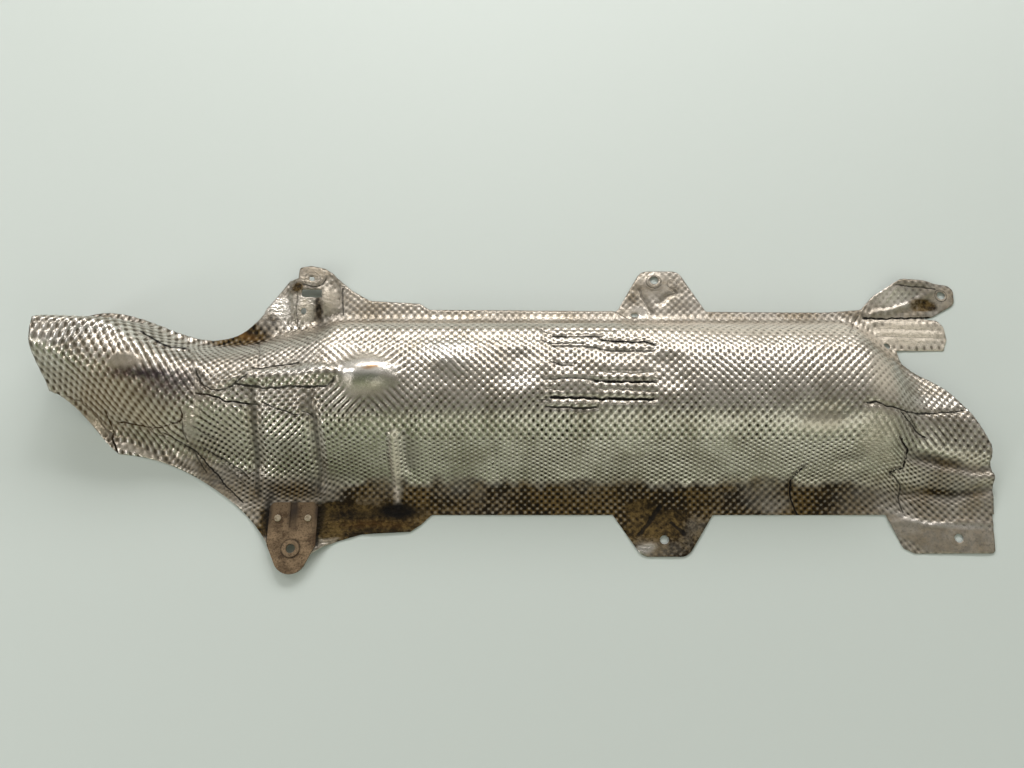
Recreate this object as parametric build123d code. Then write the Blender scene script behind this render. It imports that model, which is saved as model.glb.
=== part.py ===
from build123d import *

import math
import os
from functools import lru_cache
from typing import NamedTuple

# Exhaust heat shield: one pressed tunnel of embossed aluminium sheet, with a riveted tongue bracket.
# It lies open side down. X runs along the tunnel from the scoop to the flare, Y across it, and Z up.
# Sizes are in millimetres. While drawing, X is 0 where the barrel starts and Y is 0 on its axis.

# Sheet
SHEET = 1.6                 # thickness over the embossing
FLANGE_LIFT = 0.4           # underside of the flanges above the seats of the mounting rings

# Barrel, a hat section with an arched crown
BARREL_LENGTH = 492.0
BARREL_HALF_WIDTH = 85.0    # from the axis to the foot of each wall
BARREL_CREST = 66.0         # height of the crown above the flanges
BARREL_SAG = 26.0           # fall of the crown's arch at the half width
BARREL_SLOPE = 1.43         # rise of the walls
UPPER_FLANGE = 14.0
LOWER_FLANGE = 28.0
SHOULDER_BLEND = 16.0       # softness of the bend from the crown to a wall
FOOT_BLEND = 7.0            # softness of the bend from a wall to a flange

# Scoop and neck, to the left of the barrel
SCOOP_REACH = 265.5         # from the barrel's start to the mouth
SCOOP_CREST = 80.0
SCOOP_TOP_EDGE = 85.0       # the far edge of the scoop
NECK_CREST = 55.0
SKIRT_DEPTH = 16.0          # the lower left flange past the barrel's lower edge
SKIRT_LENGTH = 84.0

# Flare, to the right of the barrel
FLARE_REACH = 126.0         # from the barrel's end to the right edge
FLARE_CREST = 25.0
FLARE_VALLEY = 3.5          # depth of its two corrugations
FOOT_TAB_DEPTH = 36.0       # the flat foot below the flare
FOOT_TAB_WIDTH = 86.0
FOOT_HOLE_INSET = 38.0      # from the right edge
FOOT_HOLE_RISE = 14.0       # from the bottom edge

# Tabs in the middle of the two flanges
UPPER_TAB_X = 322.0
UPPER_TAB_BASE = 86.0
UPPER_TAB_TIP = 38.0
UPPER_TAB_DEPTH = 43.0
UPPER_HOLE_SHIFT = -5.5     # from the tab's middle line
UPPER_HOLE_DEPTH = 32.0     # from the flange's edge
LOWER_TAB_X = 311.0
LOWER_TAB_BASE = 92.0
LOWER_TAB_TIP = 42.0
LOWER_TAB_DEPTH = 39.0
LOWER_HOLE_DEPTH = 23.5
TAB_CORNER = 12.0
BEAD_WIDTH = 6.0            # stiffening beads on the tabs
BEAD_HEIGHT = 1.6
BEAD_SPREAD = 19.0          # their outer ends from the tab's middle line
BEAD_OUT = 18.0             # their outer ends from the flange's edge
BEAD_IN = 4.0               # their inner ends from the edge and the middle line

# Two-pronged arm at the upper right, placed from the barrel's end and the upper flange's edge
LOWER_PRONG_REACH = 111.0
LOWER_PRONG_WIDTH = 31.0
LOWER_PRONG_DROP = 15.0     # its upper side below the flange's edge
UPPER_PRONG_REACH = 125.0
UPPER_PRONG_WIDTH = 31.0
UPPER_PRONG_RISE = 30.0     # its upper side above the flange's edge
PRONG_LIFT = 9.0            # rise of the upper prong's twisted edge
PRONG_CORNER = 8.0
PRONG_HOLE_INSET = 12.0     # from the prong's tip

# Upper left lug, a raised pad with a window under it, placed from the upper flange's edge
LUG_X = -28.0
LUG_HALF_WIDTH = 15.0
LUG_RISE = 43.0             # to its tip
LUG_LIFT = 11.0             # out of the flange
LUG_HOLE_RISE = 28.0
LUG_HOLE = 5.0
WINDOW_RISE = 12.0
WINDOW_WIDTH = 20.0
WINDOW_HEIGHT = 8.0
LUG_EYE_DROP = 5.0          # below the flange's edge
LUG_EYE_SHIFT = -8.0        # from the lug's middle line
LUG_EYE = 5.6

# Holes and their pressed rings
MOUNT_HOLE = 8.5
RING_OUTER = 16.5
RING_PROUD = 0.7            # height of a ring above the sheet
BOLT_ROOM = 1.5             # of the shell's hole around the one in the tongue over it
DRAIN_HOLE = 7.0
DRAIN_LENGTH = 8.0
DRAIN_WIDTH = 4.5

# Pressed and dented detail of the tunnel
BOSS_X = 40.5
BOSS_RADIUS = 34.0
BOSS_HEIGHT = 6.0
NECK_BEAD_HALF_WIDTH = 11.0
NECK_BEAD_HEIGHT = 4.5
GROOVE_DEPTH = 3.0
GROOVE_HALF_WIDTH = 7.0
RIB_X = 68.5
RIB_HALF_WIDTH = 7.0
RIB_HEIGHT = 2.6
PLEAT_LEFT = 197.0
PLEAT_RIGHT = 303.0
PLEAT_HEIGHT = 1.7
PLEAT_HALF_WIDTH = 2.8
PLEATS = (50.0, 38.0, 11.0, -4.0, -21.0, -30.0)

# Tongue bracket, riveted to a raised seat at the lower left
SEAT_LIFT = 4.0             # the seat above the flange
BRACKET = 2.0               # thickness of the tongue
BRACKET_X = -28.0
BRACKET_LENGTH = 66.0
BRACKET_LAP = 10.0          # of the tongue above the lower flange's edge
BRACKET_WIDTH = 44.0
BRACKET_TIP_RADIUS = 15.0
BRACKET_HOLE_RISE = 23.0    # from the tip
BRACKET_CORNER = 6.0
CHANNEL_WIDTH = 6.0         # pressed groove down the middle
CHANNEL_LENGTH = 30.0
CHANNEL_DEPTH = 0.8
SEAT_GAP = 0.25
RIVET_SPACING = 27.6
RIVET_INSET = 15.0          # from the tongue's upper end
RIVET = 4.0
RIVET_HEAD = 6.4
RIVET_HEAD_HEIGHT = 1.4
RIVET_CLEARANCE = 0.1

# Sampling of the pressed surface
MARGIN = 14.0               # of the sheet past its outline, before it is trimmed
FINE = 6.0
MEDIUM = 11.0
COARSE = 20.0
BLOCK_DEPTH = 40.0          # of the blocks that the two faces are cut from

# Levels and edges that follow
FLANGE_TOP = FLANGE_LIFT + SHEET
UPPER_EDGE = BARREL_HALF_WIDTH + UPPER_FLANGE
LOWER_EDGE = -(BARREL_HALF_WIDTH + LOWER_FLANGE)
FLARE_END = BARREL_LENGTH + FLARE_REACH
FOOT_BOTTOM = LOWER_EDGE - FOOT_TAB_DEPTH
LOWER_PRONG_TOP = UPPER_EDGE - LOWER_PRONG_DROP
LOWER_PRONG_BOTTOM = LOWER_PRONG_TOP - LOWER_PRONG_WIDTH
UPPER_PRONG_TOP = UPPER_EDGE + UPPER_PRONG_RISE
UPPER_PRONG_BOTTOM = UPPER_PRONG_TOP - UPPER_PRONG_WIDTH
LUG_TIP = UPPER_EDGE + LUG_RISE
LUG_HOLE_Y = UPPER_EDGE + LUG_HOLE_RISE
WINDOW_Y = UPPER_EDGE + WINDOW_RISE
LUG_EYE_Y = UPPER_EDGE - LUG_EYE_DROP
BRACKET_TOP = LOWER_EDGE + BRACKET_LAP
BRACKET_TIP = BRACKET_TOP - BRACKET_LENGTH
BRACKET_HOLE_Y = BRACKET_TIP + BRACKET_HOLE_RISE
RIVET_Y = BRACKET_TOP - RIVET_INSET
SEAT_TOP = FLANGE_TOP + SEAT_LIFT
CUT_HEIGHT = 4 * (SCOOP_CREST + BARREL_CREST)


class Station(NamedTuple):
    """The hat section of the tunnel at one place along X."""

    x: float
    centre: float
    half_width: float
    crest: float
    sag: float
    slope: float


TUNNEL = (
    Station(-SCOOP_REACH - 2 * MARGIN, 40.5, SCOOP_TOP_EDGE - 44, SCOOP_CREST - 1, 38, 2.6),
    Station(-0.86 * SCOOP_REACH, 30.5, SCOOP_TOP_EDGE - 33, SCOOP_CREST, 34, 2.4),
    Station(-0.70 * SCOOP_REACH, 19, SCOOP_TOP_EDGE - 24, SCOOP_CREST - 4, 32, 2.0),
    Station(-0.62 * SCOOP_REACH, 11, SCOOP_TOP_EDGE - 27, 0.5 * (SCOOP_CREST + NECK_CREST), 31, 1.8),
    Station(-0.55 * SCOOP_REACH, 4, 57, NECK_CREST + 4, 29, 1.7),
    Station(-0.43 * SCOOP_REACH, 0, 60, NECK_CREST, 26, 1.5),
    Station(-0.26 * SCOOP_REACH, -2, 68, NECK_CREST, 24, 1.4),
    Station(-0.12 * SCOOP_REACH, -1, 78, NECK_CREST + 3, 25, 1.4),
    Station(0, 0, BARREL_HALF_WIDTH, BARREL_CREST, BARREL_SAG, BARREL_SLOPE),
    Station(BARREL_LENGTH, 0, BARREL_HALF_WIDTH, BARREL_CREST, BARREL_SAG, BARREL_SLOPE),
    Station(BARREL_LENGTH + 0.25 * FLARE_REACH, -8, BARREL_HALF_WIDTH - 5, BARREL_CREST - 13, 24, 1.1),
    Station(BARREL_LENGTH + 0.50 * FLARE_REACH, -25, BARREL_HALF_WIDTH - 15, FLARE_CREST + 5, 14, 0.55),
    Station(FLARE_END + 2 * MARGIN, -32, BARREL_HALF_WIDTH - 9, FLARE_CREST - 2, 12, 0.4),
)


class Dent(NamedTuple):
    """A dent, or with a positive rise a bulge, in the crown of the used barrel."""

    x: float
    y: float
    half_length: float
    half_width: float
    rise: float


DENTS = (
    Dent(115, 20, 34, 26, 2.6),
    Dent(172, -2, 24, 20, -3.6),
    Dent(190, -16, 20, 18, 2.0),
    Dent(316, -4, 24, 18, -3.6),
    Dent(455, -36, 30, 24, -1.8),
)


def smooth_steps(start, end, value):
    """Rise smoothly from 0 at start to 1 at end."""
    t = min(1.0, max(0.0, (value - start) / (end - start)))
    return t * t * (3 - 2 * t)


def soft_min(a, b, blend):
    """The lower of two heights, with a rounded corner between them."""
    q = min(1.0, max(0.0, 0.5 + 0.5 * (b - a) / blend))
    return b * (1 - q) + a * q - blend * q * (1 - q)


def soft_max(a, b, blend):
    """The higher of two heights, with a rounded corner between them."""
    return -soft_min(-a, -b, blend)


def mound(u, v=0.0):
    """A round hump, 1 in its middle and 0 at a distance of 1."""
    r2 = u * u + v * v
    return (1 - r2) ** 2 if r2 < 1 else 0.0


def plateau(value, start, end, ramp):
    """1 between start and end, with a ramp outside each of them."""
    return smooth_steps(start - ramp, start, value) * (1 - smooth_steps(end, end + ramp, value))


def slopes(places, values):
    """Tangents of a curve through the values that never overshoots them."""
    steps = [(b - a) / (q - p) for p, q, a, b in zip(places, places[1:], values, values[1:])]
    inner = [2 * a * b / (a + b) if a * b > 0 else 0.0 for a, b in zip(steps, steps[1:])]
    return [0.0, *inner, 0.0]


@lru_cache(maxsize=None)
def tunnel_at(x):
    """The tunnel's section at x, blended between its stations."""
    places = [s.x for s in TUNNEL]
    x = min(places[-1], max(places[0], x))
    i = max(k for k in range(len(places) - 1) if places[k] <= x)
    span = places[i + 1] - places[i]
    t = (x - places[i]) / span
    blended = [x]
    for column in range(1, len(Station._fields)):
        values = [s[column] for s in TUNNEL]
        tangent = slopes(places, values)
        start, end = values[i], values[i + 1]
        rise = (3 - 2 * t) * t * t
        blended.append(
            start + (end - start) * rise
            + span * t * (1 - t) * ((1 - t) * tangent[i] - t * tangent[i + 1])
        )
    return Station(*blended)


def tunnel_dents(x, y):
    """Soft dents and bulges that the used barrel has along its crown."""
    return sum(d.rise * mound((x - d.x) / d.half_length, (y - d.y) / d.half_width) for d in DENTS)


def pressed_detail(x, y):
    """The boss, bead, grooves and rib pressed into the tunnel."""
    z = tunnel_dents(x, y)
    z += BOSS_HEIGHT * mound((x - BOSS_X) / BOSS_RADIUS, y / (0.8 * BOSS_RADIUS))
    along_neck = plateau(x, -0.33 * SCOOP_REACH, BOSS_X - BOSS_RADIUS, 14)
    z += NECK_BEAD_HEIGHT * mound(y / NECK_BEAD_HALF_WIDTH) * along_neck
    lower_wall = plateau(y, -BARREL_HALF_WIDTH, -30, 14)
    for place in (-0.23 * SCOOP_REACH, -0.03 * SCOOP_REACH):
        z -= GROOVE_DEPTH * mound((x - place) / GROOVE_HALF_WIDTH) * lower_wall
    rib_length = plateau(y, -BARREL_HALF_WIDTH - 12, -58, 8)
    z += RIB_HEIGHT * mound((x - RIB_X) / RIB_HALF_WIDTH) * rib_length
    return z


def flare_detail(x, y):
    """Corrugations that run along the flare, and the bend above its foot."""
    on_flare = smooth_steps(BARREL_LENGTH + 0.32 * FLARE_REACH, BARREL_LENGTH + 0.5 * FLARE_REACH, x)
    run = (x - BARREL_LENGTH) / FLARE_REACH
    first = -0.62 * BARREL_HALF_WIDTH - 0.22 * BARREL_HALF_WIDTH * run
    second = -1.18 * BARREL_HALF_WIDTH + 0.12 * BARREL_HALF_WIDTH * run
    dip = mound((y - first) / 9) + mound((y - second) / 9)
    rise = 2.2 * mound((y - 0.5 * (first + second)) / 12)
    return on_flare * (rise - FLARE_VALLEY * dip)


def lug_lift(x, y):
    """The raised pad of the upper left lug, with its sloping side wall."""
    across = plateau(x, LUG_X - LUG_HALF_WIDTH, LUG_X + LUG_HALF_WIDTH, 12)
    return LUG_LIFT * across * smooth_steps(UPPER_EDGE - 16, WINDOW_Y - 2, y)


def prong_lift(x, y):
    """The twist of the upper prong, whose far edge stands up."""
    along = plateau(x, BARREL_LENGTH + 52, BARREL_LENGTH + 92, 22)
    return PRONG_LIFT * along * smooth_steps(UPPER_PRONG_BOTTOM, UPPER_PRONG_TOP, y)


def seat_lift(x, y):
    """The raised seat under the tongue bracket."""
    half = 0.5 * BRACKET_WIDTH
    across = plateau(x, BRACKET_X - half, BRACKET_X + half, 2 * FINE)
    return SEAT_LIFT * across * smooth_steps(LOWER_EDGE + 28, LOWER_EDGE + 16, y)


def tunnel_height(x, y):
    """Height of the tunnel's outer face above the flanges, below 0 past its walls."""
    s = tunnel_at(x)
    off = y - s.centre
    crown = s.crest - s.sag * (off / s.half_width) ** 2
    wall = s.slope * (s.half_width - abs(off))
    tunnel = soft_min(crown, wall, SHOULDER_BLEND)
    shown = smooth_steps(2.0, 14.0, tunnel)
    return tunnel + shown * (pressed_detail(x, y) + flare_detail(x, y))


def flange_height(x, y):
    """Height of the raised parts of the flanges."""
    return lug_lift(x, y) + prong_lift(x, y) + seat_lift(x, y)


def outer_height(x, y):
    """Height of the sheet's outer face above the ground."""
    return FLANGE_TOP + soft_max(tunnel_height(x, y), flange_height(x, y), FOOT_BLEND)


def inner_height(x, y):
    """Height of the inner face, one sheet thickness below the outer face along its slope."""
    d = 0.25
    along = (tunnel_height(x + d, y) - tunnel_height(x - d, y)) / (2 * d)
    across = (tunnel_height(x, y + d) - tunnel_height(x, y - d)) / (2 * d)
    drop = SHEET * (math.sqrt(1 + along**2 + across**2) - 1)
    return FLANGE_LIFT + soft_max(tunnel_height(x, y) - drop, flange_height(x, y), FOOT_BLEND)


def spread(*bands):
    """Places from band to band, each band given as its start, end and widest step."""
    places = []
    for start, end, step in bands:
        count = max(1, math.ceil((end - start) / step))
        places += [start + (end - start) * k / count for k in range(count)]
    return [*places, bands[-1][1]]


def sheet_grid():
    """Places along X and Y where the pressed faces are worked out, closer where they bend more."""
    columns = spread(
        (-SCOOP_REACH - MARGIN, -0.35 * SCOOP_REACH, MEDIUM),
        (-0.35 * SCOOP_REACH, RIB_X + 2 * RIB_HALF_WIDTH, FINE),
        (RIB_X + 2 * RIB_HALF_WIDTH, PLEAT_RIGHT + 40, MEDIUM),
        (PLEAT_RIGHT + 40, BARREL_LENGTH - 10, COARSE),
        (BARREL_LENGTH - 10, FLARE_END + MARGIN, MEDIUM),
    )
    rows = spread(
        (min(FOOT_BOTTOM, BRACKET_TIP) - MARGIN, LOWER_EDGE + 4, MEDIUM),
        (LOWER_EDGE + 4, max(LUG_TIP, UPPER_EDGE + UPPER_TAB_DEPTH) + MARGIN, FINE),
    )
    return columns, rows


def pressed_block(height, floor):
    """A block under one face of the sheet, lofted through its sections along X."""
    columns, rows = sheet_grid()
    knots = [(y - rows[0]) / (rows[-1] - rows[0]) for y in rows]
    sections = []
    for x in columns:
        face_line = Edge.make_spline([Vector(x, y, height(x, y)) for y in rows], parameters=knots)
        sides = Polyline(face_line @ 1, (x, rows[-1], floor), (x, rows[0], floor), face_line @ 0)
        sections.append(Wire([face_line, *sides.edges()]))
    return Solid.make_loft(sections, ruled=True)


def panel(*points, corner=0.0):
    """A flat outline through the points, with rounded corners."""
    if corner:
        return make_face(FilletPolyline(*points, radius=corner, close=True))
    return make_face(Polyline(*points, close=True))


def tab(x, base, tip, edge, depth):
    """A tapered tab that stands out from a flange's edge."""
    root = edge - 0.5 * depth
    return panel(
        (x - 0.5 * base - 0.25 * (base - tip), root),
        (x - 0.5 * tip, edge + depth),
        (x + 0.5 * tip, edge + depth),
        (x + 0.5 * base + 0.25 * (base - tip), root),
        corner=TAB_CORNER,
    )


def scoop_outline():
    """The scoop and the neck, from the mouth to the barrel."""
    reach = SCOOP_REACH
    lip = Spline((-reach, 0), (-0.89 * reach, -18), (-0.804 * reach, -42), (-0.751 * reach, -54))
    rim = Spline(
        lip @ 1,
        (-0.544 * reach, -67),
        (-0.397 * reach, -88),
        (-0.247 * reach, LOWER_EDGE - 8),
        (BRACKET_X - 0.28 * BRACKET_WIDTH, BRACKET_TIP + 7),
    )
    far = Spline(
        (-reach, SCOOP_TOP_EDGE),
        (-0.706 * reach, SCOOP_TOP_EDGE - 1),
        (-0.454 * reach, UPPER_EDGE - 35),
        (-0.284 * reach, UPPER_EDGE - 5),
    )
    closing = [
        Line(rim @ 1, (BRACKET_X, BRACKET_TIP + 6)),
        Line((BRACKET_X, BRACKET_TIP + 6), (0, LOWER_EDGE)),
        Line((0, LOWER_EDGE), (0, UPPER_EDGE)),
        Line((0, UPPER_EDGE), far @ 1),
    ]
    return make_face([lip, rim, *closing, far, Line(far @ 0, lip @ 0)])


def lug_outline():
    """The upper left lug and the flange that runs down from it to the barrel's edge."""
    left = LUG_X - LUG_HALF_WIDTH
    right = LUG_X + LUG_HALF_WIDTH
    return panel(
        (-0.29 * SCOOP_REACH, UPPER_EDGE - 5),
        (left - 11, LUG_TIP - 13),
        (left, LUG_TIP - 14),
        (left + 1, LUG_TIP - 2),
        (LUG_X - 3, LUG_TIP),
        (right - 4, LUG_TIP - 3),
        (right + 11, LUG_TIP - 12),
        (right + 24, UPPER_EDGE + 20),
        (right + 42, UPPER_EDGE + 9),
        (right + 92, UPPER_EDGE + 6),
        (right + 104, UPPER_EDGE - 2),
        (right, UPPER_EDGE - 30),
    )


def skirt_outline():
    """The lower left flange between the tongue bracket and the barrel's edge."""
    return panel(
        (-0.24 * SCOOP_REACH, LOWER_EDGE + 20),
        (BRACKET_X - 0.28 * BRACKET_WIDTH, BRACKET_TIP + 8),
        (BRACKET_X, BRACKET_TIP + 6),
        (0, LOWER_EDGE - 1.9 * SKIRT_DEPTH),
        (13, LOWER_EDGE - 1.55 * SKIRT_DEPTH),
        (34, LOWER_EDGE - 1.15 * SKIRT_DEPTH),
        (SKIRT_LENGTH - 5, LOWER_EDGE - SKIRT_DEPTH),
        (SKIRT_LENGTH + 5, LOWER_EDGE - 0.55 * SKIRT_DEPTH),
        (SKIRT_LENGTH + 16, LOWER_EDGE + 2),
        (SKIRT_LENGTH, LOWER_EDGE + 20),
    )


def flare_outline():
    """The flared right end with its flat foot."""
    foot_left = FLARE_END - FOOT_TAB_WIDTH
    arch = Spline(
        (BARREL_LENGTH + 56, UPPER_EDGE - 60),
        (BARREL_LENGTH + 70, 22),
        (BARREL_LENGTH + 88, 8),
        (BARREL_LENGTH + 108, -18),
        (FLARE_END, -52),
    )
    body = make_face([
        arch,
        Polyline(
            arch @ 1,
            (FLARE_END - 1, -0.62 * BARREL_HALF_WIDTH - 14),
            (FLARE_END + 1, -0.62 * BARREL_HALF_WIDTH - 25),
            (FLARE_END - 2, LOWER_EDGE),
            (BARREL_LENGTH - 20, LOWER_EDGE),
            (BARREL_LENGTH - 20, UPPER_EDGE - 30),
            arch @ 0,
        ),
    ])
    foot = panel(
        (foot_left - 26, LOWER_EDGE + 14),
        (foot_left - 15, LOWER_EDGE - 2),
        (foot_left - 4, FOOT_BOTTOM + 5),
        (foot_left + 6, FOOT_BOTTOM),
        (FLARE_END - 7, FOOT_BOTTOM),
        (FLARE_END - 2, LOWER_EDGE + 14),
        corner=3.5,
    )
    return body + foot


def arm_outline():
    """The two-pronged arm at the upper right."""
    end = BARREL_LENGTH
    lower = panel(
        (end - 20, LOWER_PRONG_BOTTOM + 4),
        (end + 59, LOWER_PRONG_BOTTOM),
        (end + LOWER_PRONG_REACH - 5, LOWER_PRONG_BOTTOM),
        (end + LOWER_PRONG_REACH, LOWER_PRONG_BOTTOM + 12),
        (end + LOWER_PRONG_REACH - 1, LOWER_PRONG_TOP - 4),
        (end + LOWER_PRONG_REACH - 7, LOWER_PRONG_TOP + 2),
        (end + 30, UPPER_PRONG_BOTTOM),
        (end - 20, UPPER_EDGE - 5),
    )
    upper = panel(
        (end + 34, LOWER_PRONG_TOP - 10),
        (end + UPPER_PRONG_REACH - 24, UPPER_PRONG_BOTTOM - 8),
        (end + UPPER_PRONG_REACH, UPPER_PRONG_BOTTOM + 6),
        (end + UPPER_PRONG_REACH + 2, UPPER_PRONG_TOP - 4),
        (end + 72, UPPER_PRONG_TOP),
        (end + 42, UPPER_PRONG_TOP - 18),
        (end + 24, UPPER_EDGE - 8),
        corner=PRONG_CORNER,
    )
    web = panel(
        (end - 20, UPPER_EDGE - 60),
        (end + 59, UPPER_EDGE - 62),
        (end + 59, LOWER_PRONG_BOTTOM + 10),
        (end - 20, LOWER_PRONG_BOTTOM + 10),
    )
    return lower + upper + web


def shell_outline():
    """The sheet's whole outline, seen from above."""
    barrel = panel(
        (-2, LOWER_EDGE), (BARREL_LENGTH + 2, LOWER_EDGE), (BARREL_LENGTH + 2, UPPER_EDGE - 4), (-2, UPPER_EDGE)
    )
    upper_tab = tab(UPPER_TAB_X, UPPER_TAB_BASE, UPPER_TAB_TIP, UPPER_EDGE, UPPER_TAB_DEPTH)
    lower_tab = mirror(
        tab(LOWER_TAB_X, LOWER_TAB_BASE, LOWER_TAB_TIP, -LOWER_EDGE, LOWER_TAB_DEPTH), about=Plane.XZ
    )
    ends = scoop_outline() + lug_outline() + skirt_outline() + flare_outline() + arm_outline()
    return barrel + upper_tab + lower_tab + ends


def mount_places():
    """Centres of the holes that bolts or studs pass through, in the shell."""
    return (
        (UPPER_TAB_X + UPPER_HOLE_SHIFT, UPPER_EDGE + UPPER_HOLE_DEPTH),
        (LOWER_TAB_X, LOWER_EDGE - LOWER_HOLE_DEPTH),
        (FLARE_END - FOOT_HOLE_INSET, FOOT_BOTTOM + FOOT_HOLE_RISE),
        (BARREL_LENGTH + UPPER_PRONG_REACH - PRONG_HOLE_INSET, 0.5 * (UPPER_PRONG_BOTTOM + UPPER_PRONG_TOP)),
    )


def upright(x, y, diameter, low, high):
    """An upright cylinder between two heights."""
    return Pos(x, y, 0.5 * (low + high)) * Cylinder(0.5 * diameter, high - low)


def ridge(x, y, length, half_width, height, turn=0.0):
    """A folded ridge along the outer face, with its foot inside the sheet."""
    d = 0.25
    tilt = math.degrees(math.atan((outer_height(x, y + d) - outer_height(x, y - d)) / (2 * d)))
    foot = -0.5 * SHEET
    profile = panel((-half_width, foot), (0, height), (half_width, foot))
    bar = extrude(Plane.YZ * profile, 0.5 * length, both=True)
    return Pos(x, y, outer_height(x, y)) * Rot(tilt, 0, turn) * bar


def pleats():
    """The gathers across the barrel's crown, where the sheet is folded on itself."""
    middle = 0.5 * (PLEAT_LEFT + PLEAT_RIGHT)
    length = PLEAT_RIGHT - PLEAT_LEFT
    return [ridge(middle, y, length, PLEAT_HALF_WIDTH, PLEAT_HEIGHT) for y in PLEATS]


def tab_beads():
    """Slanting stiffening beads that spread from the flange to both sides of each tab's hole."""
    run = BEAD_SPREAD - BEAD_IN
    rise = BEAD_OUT + BEAD_IN
    length = math.hypot(run, rise)
    beads = []
    for x, edge, out in ((LOWER_TAB_X, LOWER_EDGE, -1), (UPPER_TAB_X, UPPER_EDGE, 1)):
        y = edge + 0.5 * out * (BEAD_OUT - BEAD_IN)
        for side in (-1, 1):
            turn = math.degrees(math.atan2(out * rise, side * run))
            middle = x + 0.5 * side * (BEAD_SPREAD + BEAD_IN)
            beads.append(ridge(middle, y, length, 0.5 * BEAD_WIDTH, BEAD_HEIGHT, turn))
    return beads


def rivet_places():
    """Centres of the two rivets."""
    return [(BRACKET_X + side * 0.5 * RIVET_SPACING, RIVET_Y) for side in (-1, 1)]


def shell_cuts():
    """Everything that is punched out of the sheet."""
    through = (-CUT_HEIGHT, CUT_HEIGHT)
    holes = [upright(x, y, MOUNT_HOLE, *through) for x, y in mount_places()]
    holes += [upright(x, y, RIVET + 2 * RIVET_CLEARANCE, *through) for x, y in rivet_places()]
    holes.append(upright(BRACKET_X, BRACKET_HOLE_Y, MOUNT_HOLE + 2 * BOLT_ROOM, *through))
    holes.append(upright(LUG_X + LUG_EYE_SHIFT, LUG_EYE_Y, LUG_EYE, *through))
    holes.append(upright(BARREL_LENGTH + 50, LOWER_PRONG_BOTTOM + 4, DRAIN_HOLE, *through))
    slot = extrude(SlotOverall(DRAIN_LENGTH, DRAIN_WIDTH), CUT_HEIGHT, both=True)
    holes.append(Pos(UPPER_TAB_X - 27, UPPER_EDGE - 7, 0) * slot)
    holes.append(Pos(LUG_X, WINDOW_Y, 0) * Box(WINDOW_WIDTH, WINDOW_HEIGHT, CUT_HEIGHT))
    holes.append(Pos(LUG_X - 1, LUG_HOLE_Y, 0) * Box(LUG_HOLE, LUG_HOLE, CUT_HEIGHT))
    return holes


def shield_shell():
    """The trimmed shell with its pleats, beads, rings and holes."""
    blank = extrude(shell_outline(), CUT_HEIGHT, both=True) & pressed_block(outer_height, -BLOCK_DEPTH)
    sheet = blank - pressed_block(inner_height, -2 * BLOCK_DEPTH)
    rings = [upright(x, y, RING_OUTER, 0, FLANGE_TOP + RING_PROUD) for x, y in mount_places()]
    return sheet + [*rings, *pleats(), *tab_beads()] - shell_cuts()


def lower_left_bracket():
    """The smooth tongue with its mounting hole, seated on the shell."""
    half = 0.5 * BRACKET_WIDTH
    tip_y = BRACKET_TIP + BRACKET_TIP_RADIUS
    plate = make_hull(
        (
            Pos(BRACKET_X, tip_y) * Circle(BRACKET_TIP_RADIUS)
            + Pos(BRACKET_X, BRACKET_TOP - half) * RectangleRounded(2 * half, 2 * half, BRACKET_CORNER)
        ).edges()
    )
    low = SEAT_TOP + SEAT_GAP
    tongue = Pos(0, 0, low) * extrude(plate, BRACKET)
    tongue += upright(BRACKET_X, BRACKET_HOLE_Y, RING_OUTER, low, low + BRACKET + RING_PROUD)
    tongue -= upright(BRACKET_X, BRACKET_HOLE_Y, MOUNT_HOLE, 0, CUT_HEIGHT)
    channel = Box(CHANNEL_WIDTH, CHANNEL_LENGTH, 2 * CHANNEL_DEPTH)
    tongue -= Pos(BRACKET_X, BRACKET_TOP - 0.5 * CHANNEL_LENGTH + 6, low + BRACKET) * channel
    for x, y in rivet_places():
        tongue -= upright(x, y, RIVET + 2 * RIVET_CLEARANCE, 0, CUT_HEIGHT)
    return tongue


def rivet(x, y):
    """One rivet: a shank, a domed head on the tongue and a flat head under the sheet."""
    top = SEAT_TOP + SEAT_GAP + BRACKET + SEAT_GAP
    under = SEAT_TOP - SHEET - SEAT_GAP
    shank = upright(x, y, RIVET, under - 0.5 * RIVET_HEAD_HEIGHT, top + 0.5 * RIVET_HEAD_HEIGHT)
    head = upright(x, y, RIVET_HEAD, top, top + RIVET_HEAD_HEIGHT)
    head = fillet(head.edges().group_by(Axis.Z)[-1], 0.7 * RIVET_HEAD_HEIGHT)
    foot = upright(x, y, RIVET_HEAD, under - 0.5 * RIVET_HEAD_HEIGHT, under)
    return shank + head + foot


def main():
    """Build the pieces, bring the origin under their middle and write them."""
    shell = shield_shell()
    bracket = lower_left_bracket()
    rivets = [rivet(x, y) for x, y in rivet_places()]
    box = Compound(children=[Part(shell.wrapped), Part(bracket.wrapped)]).bounding_box()
    shift = Pos(-0.5 * (box.min.X + box.max.X), -0.5 * (box.min.Y + box.max.Y), -box.min.Z)
    print("shift", shift.position)
    os.makedirs("parts", exist_ok=True)
    export_step(shift * shell, "parts/shield_shell.step")
    export_step(shift * bracket, "parts/lower_left_bracket.step")
    export_step(shift * Compound(children=rivets), "parts/bracket_rivets.step")


main()
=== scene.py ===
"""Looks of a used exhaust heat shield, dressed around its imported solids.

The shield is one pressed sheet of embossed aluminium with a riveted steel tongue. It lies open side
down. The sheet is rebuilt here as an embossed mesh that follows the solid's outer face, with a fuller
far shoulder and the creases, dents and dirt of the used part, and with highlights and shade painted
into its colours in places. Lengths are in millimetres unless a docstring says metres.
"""

from __future__ import annotations

import logging
import math
from dataclasses import dataclass
from enum import Enum

import bpy
import numpy as np
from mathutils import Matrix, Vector
from mathutils.bvhtree import BVHTree

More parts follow.
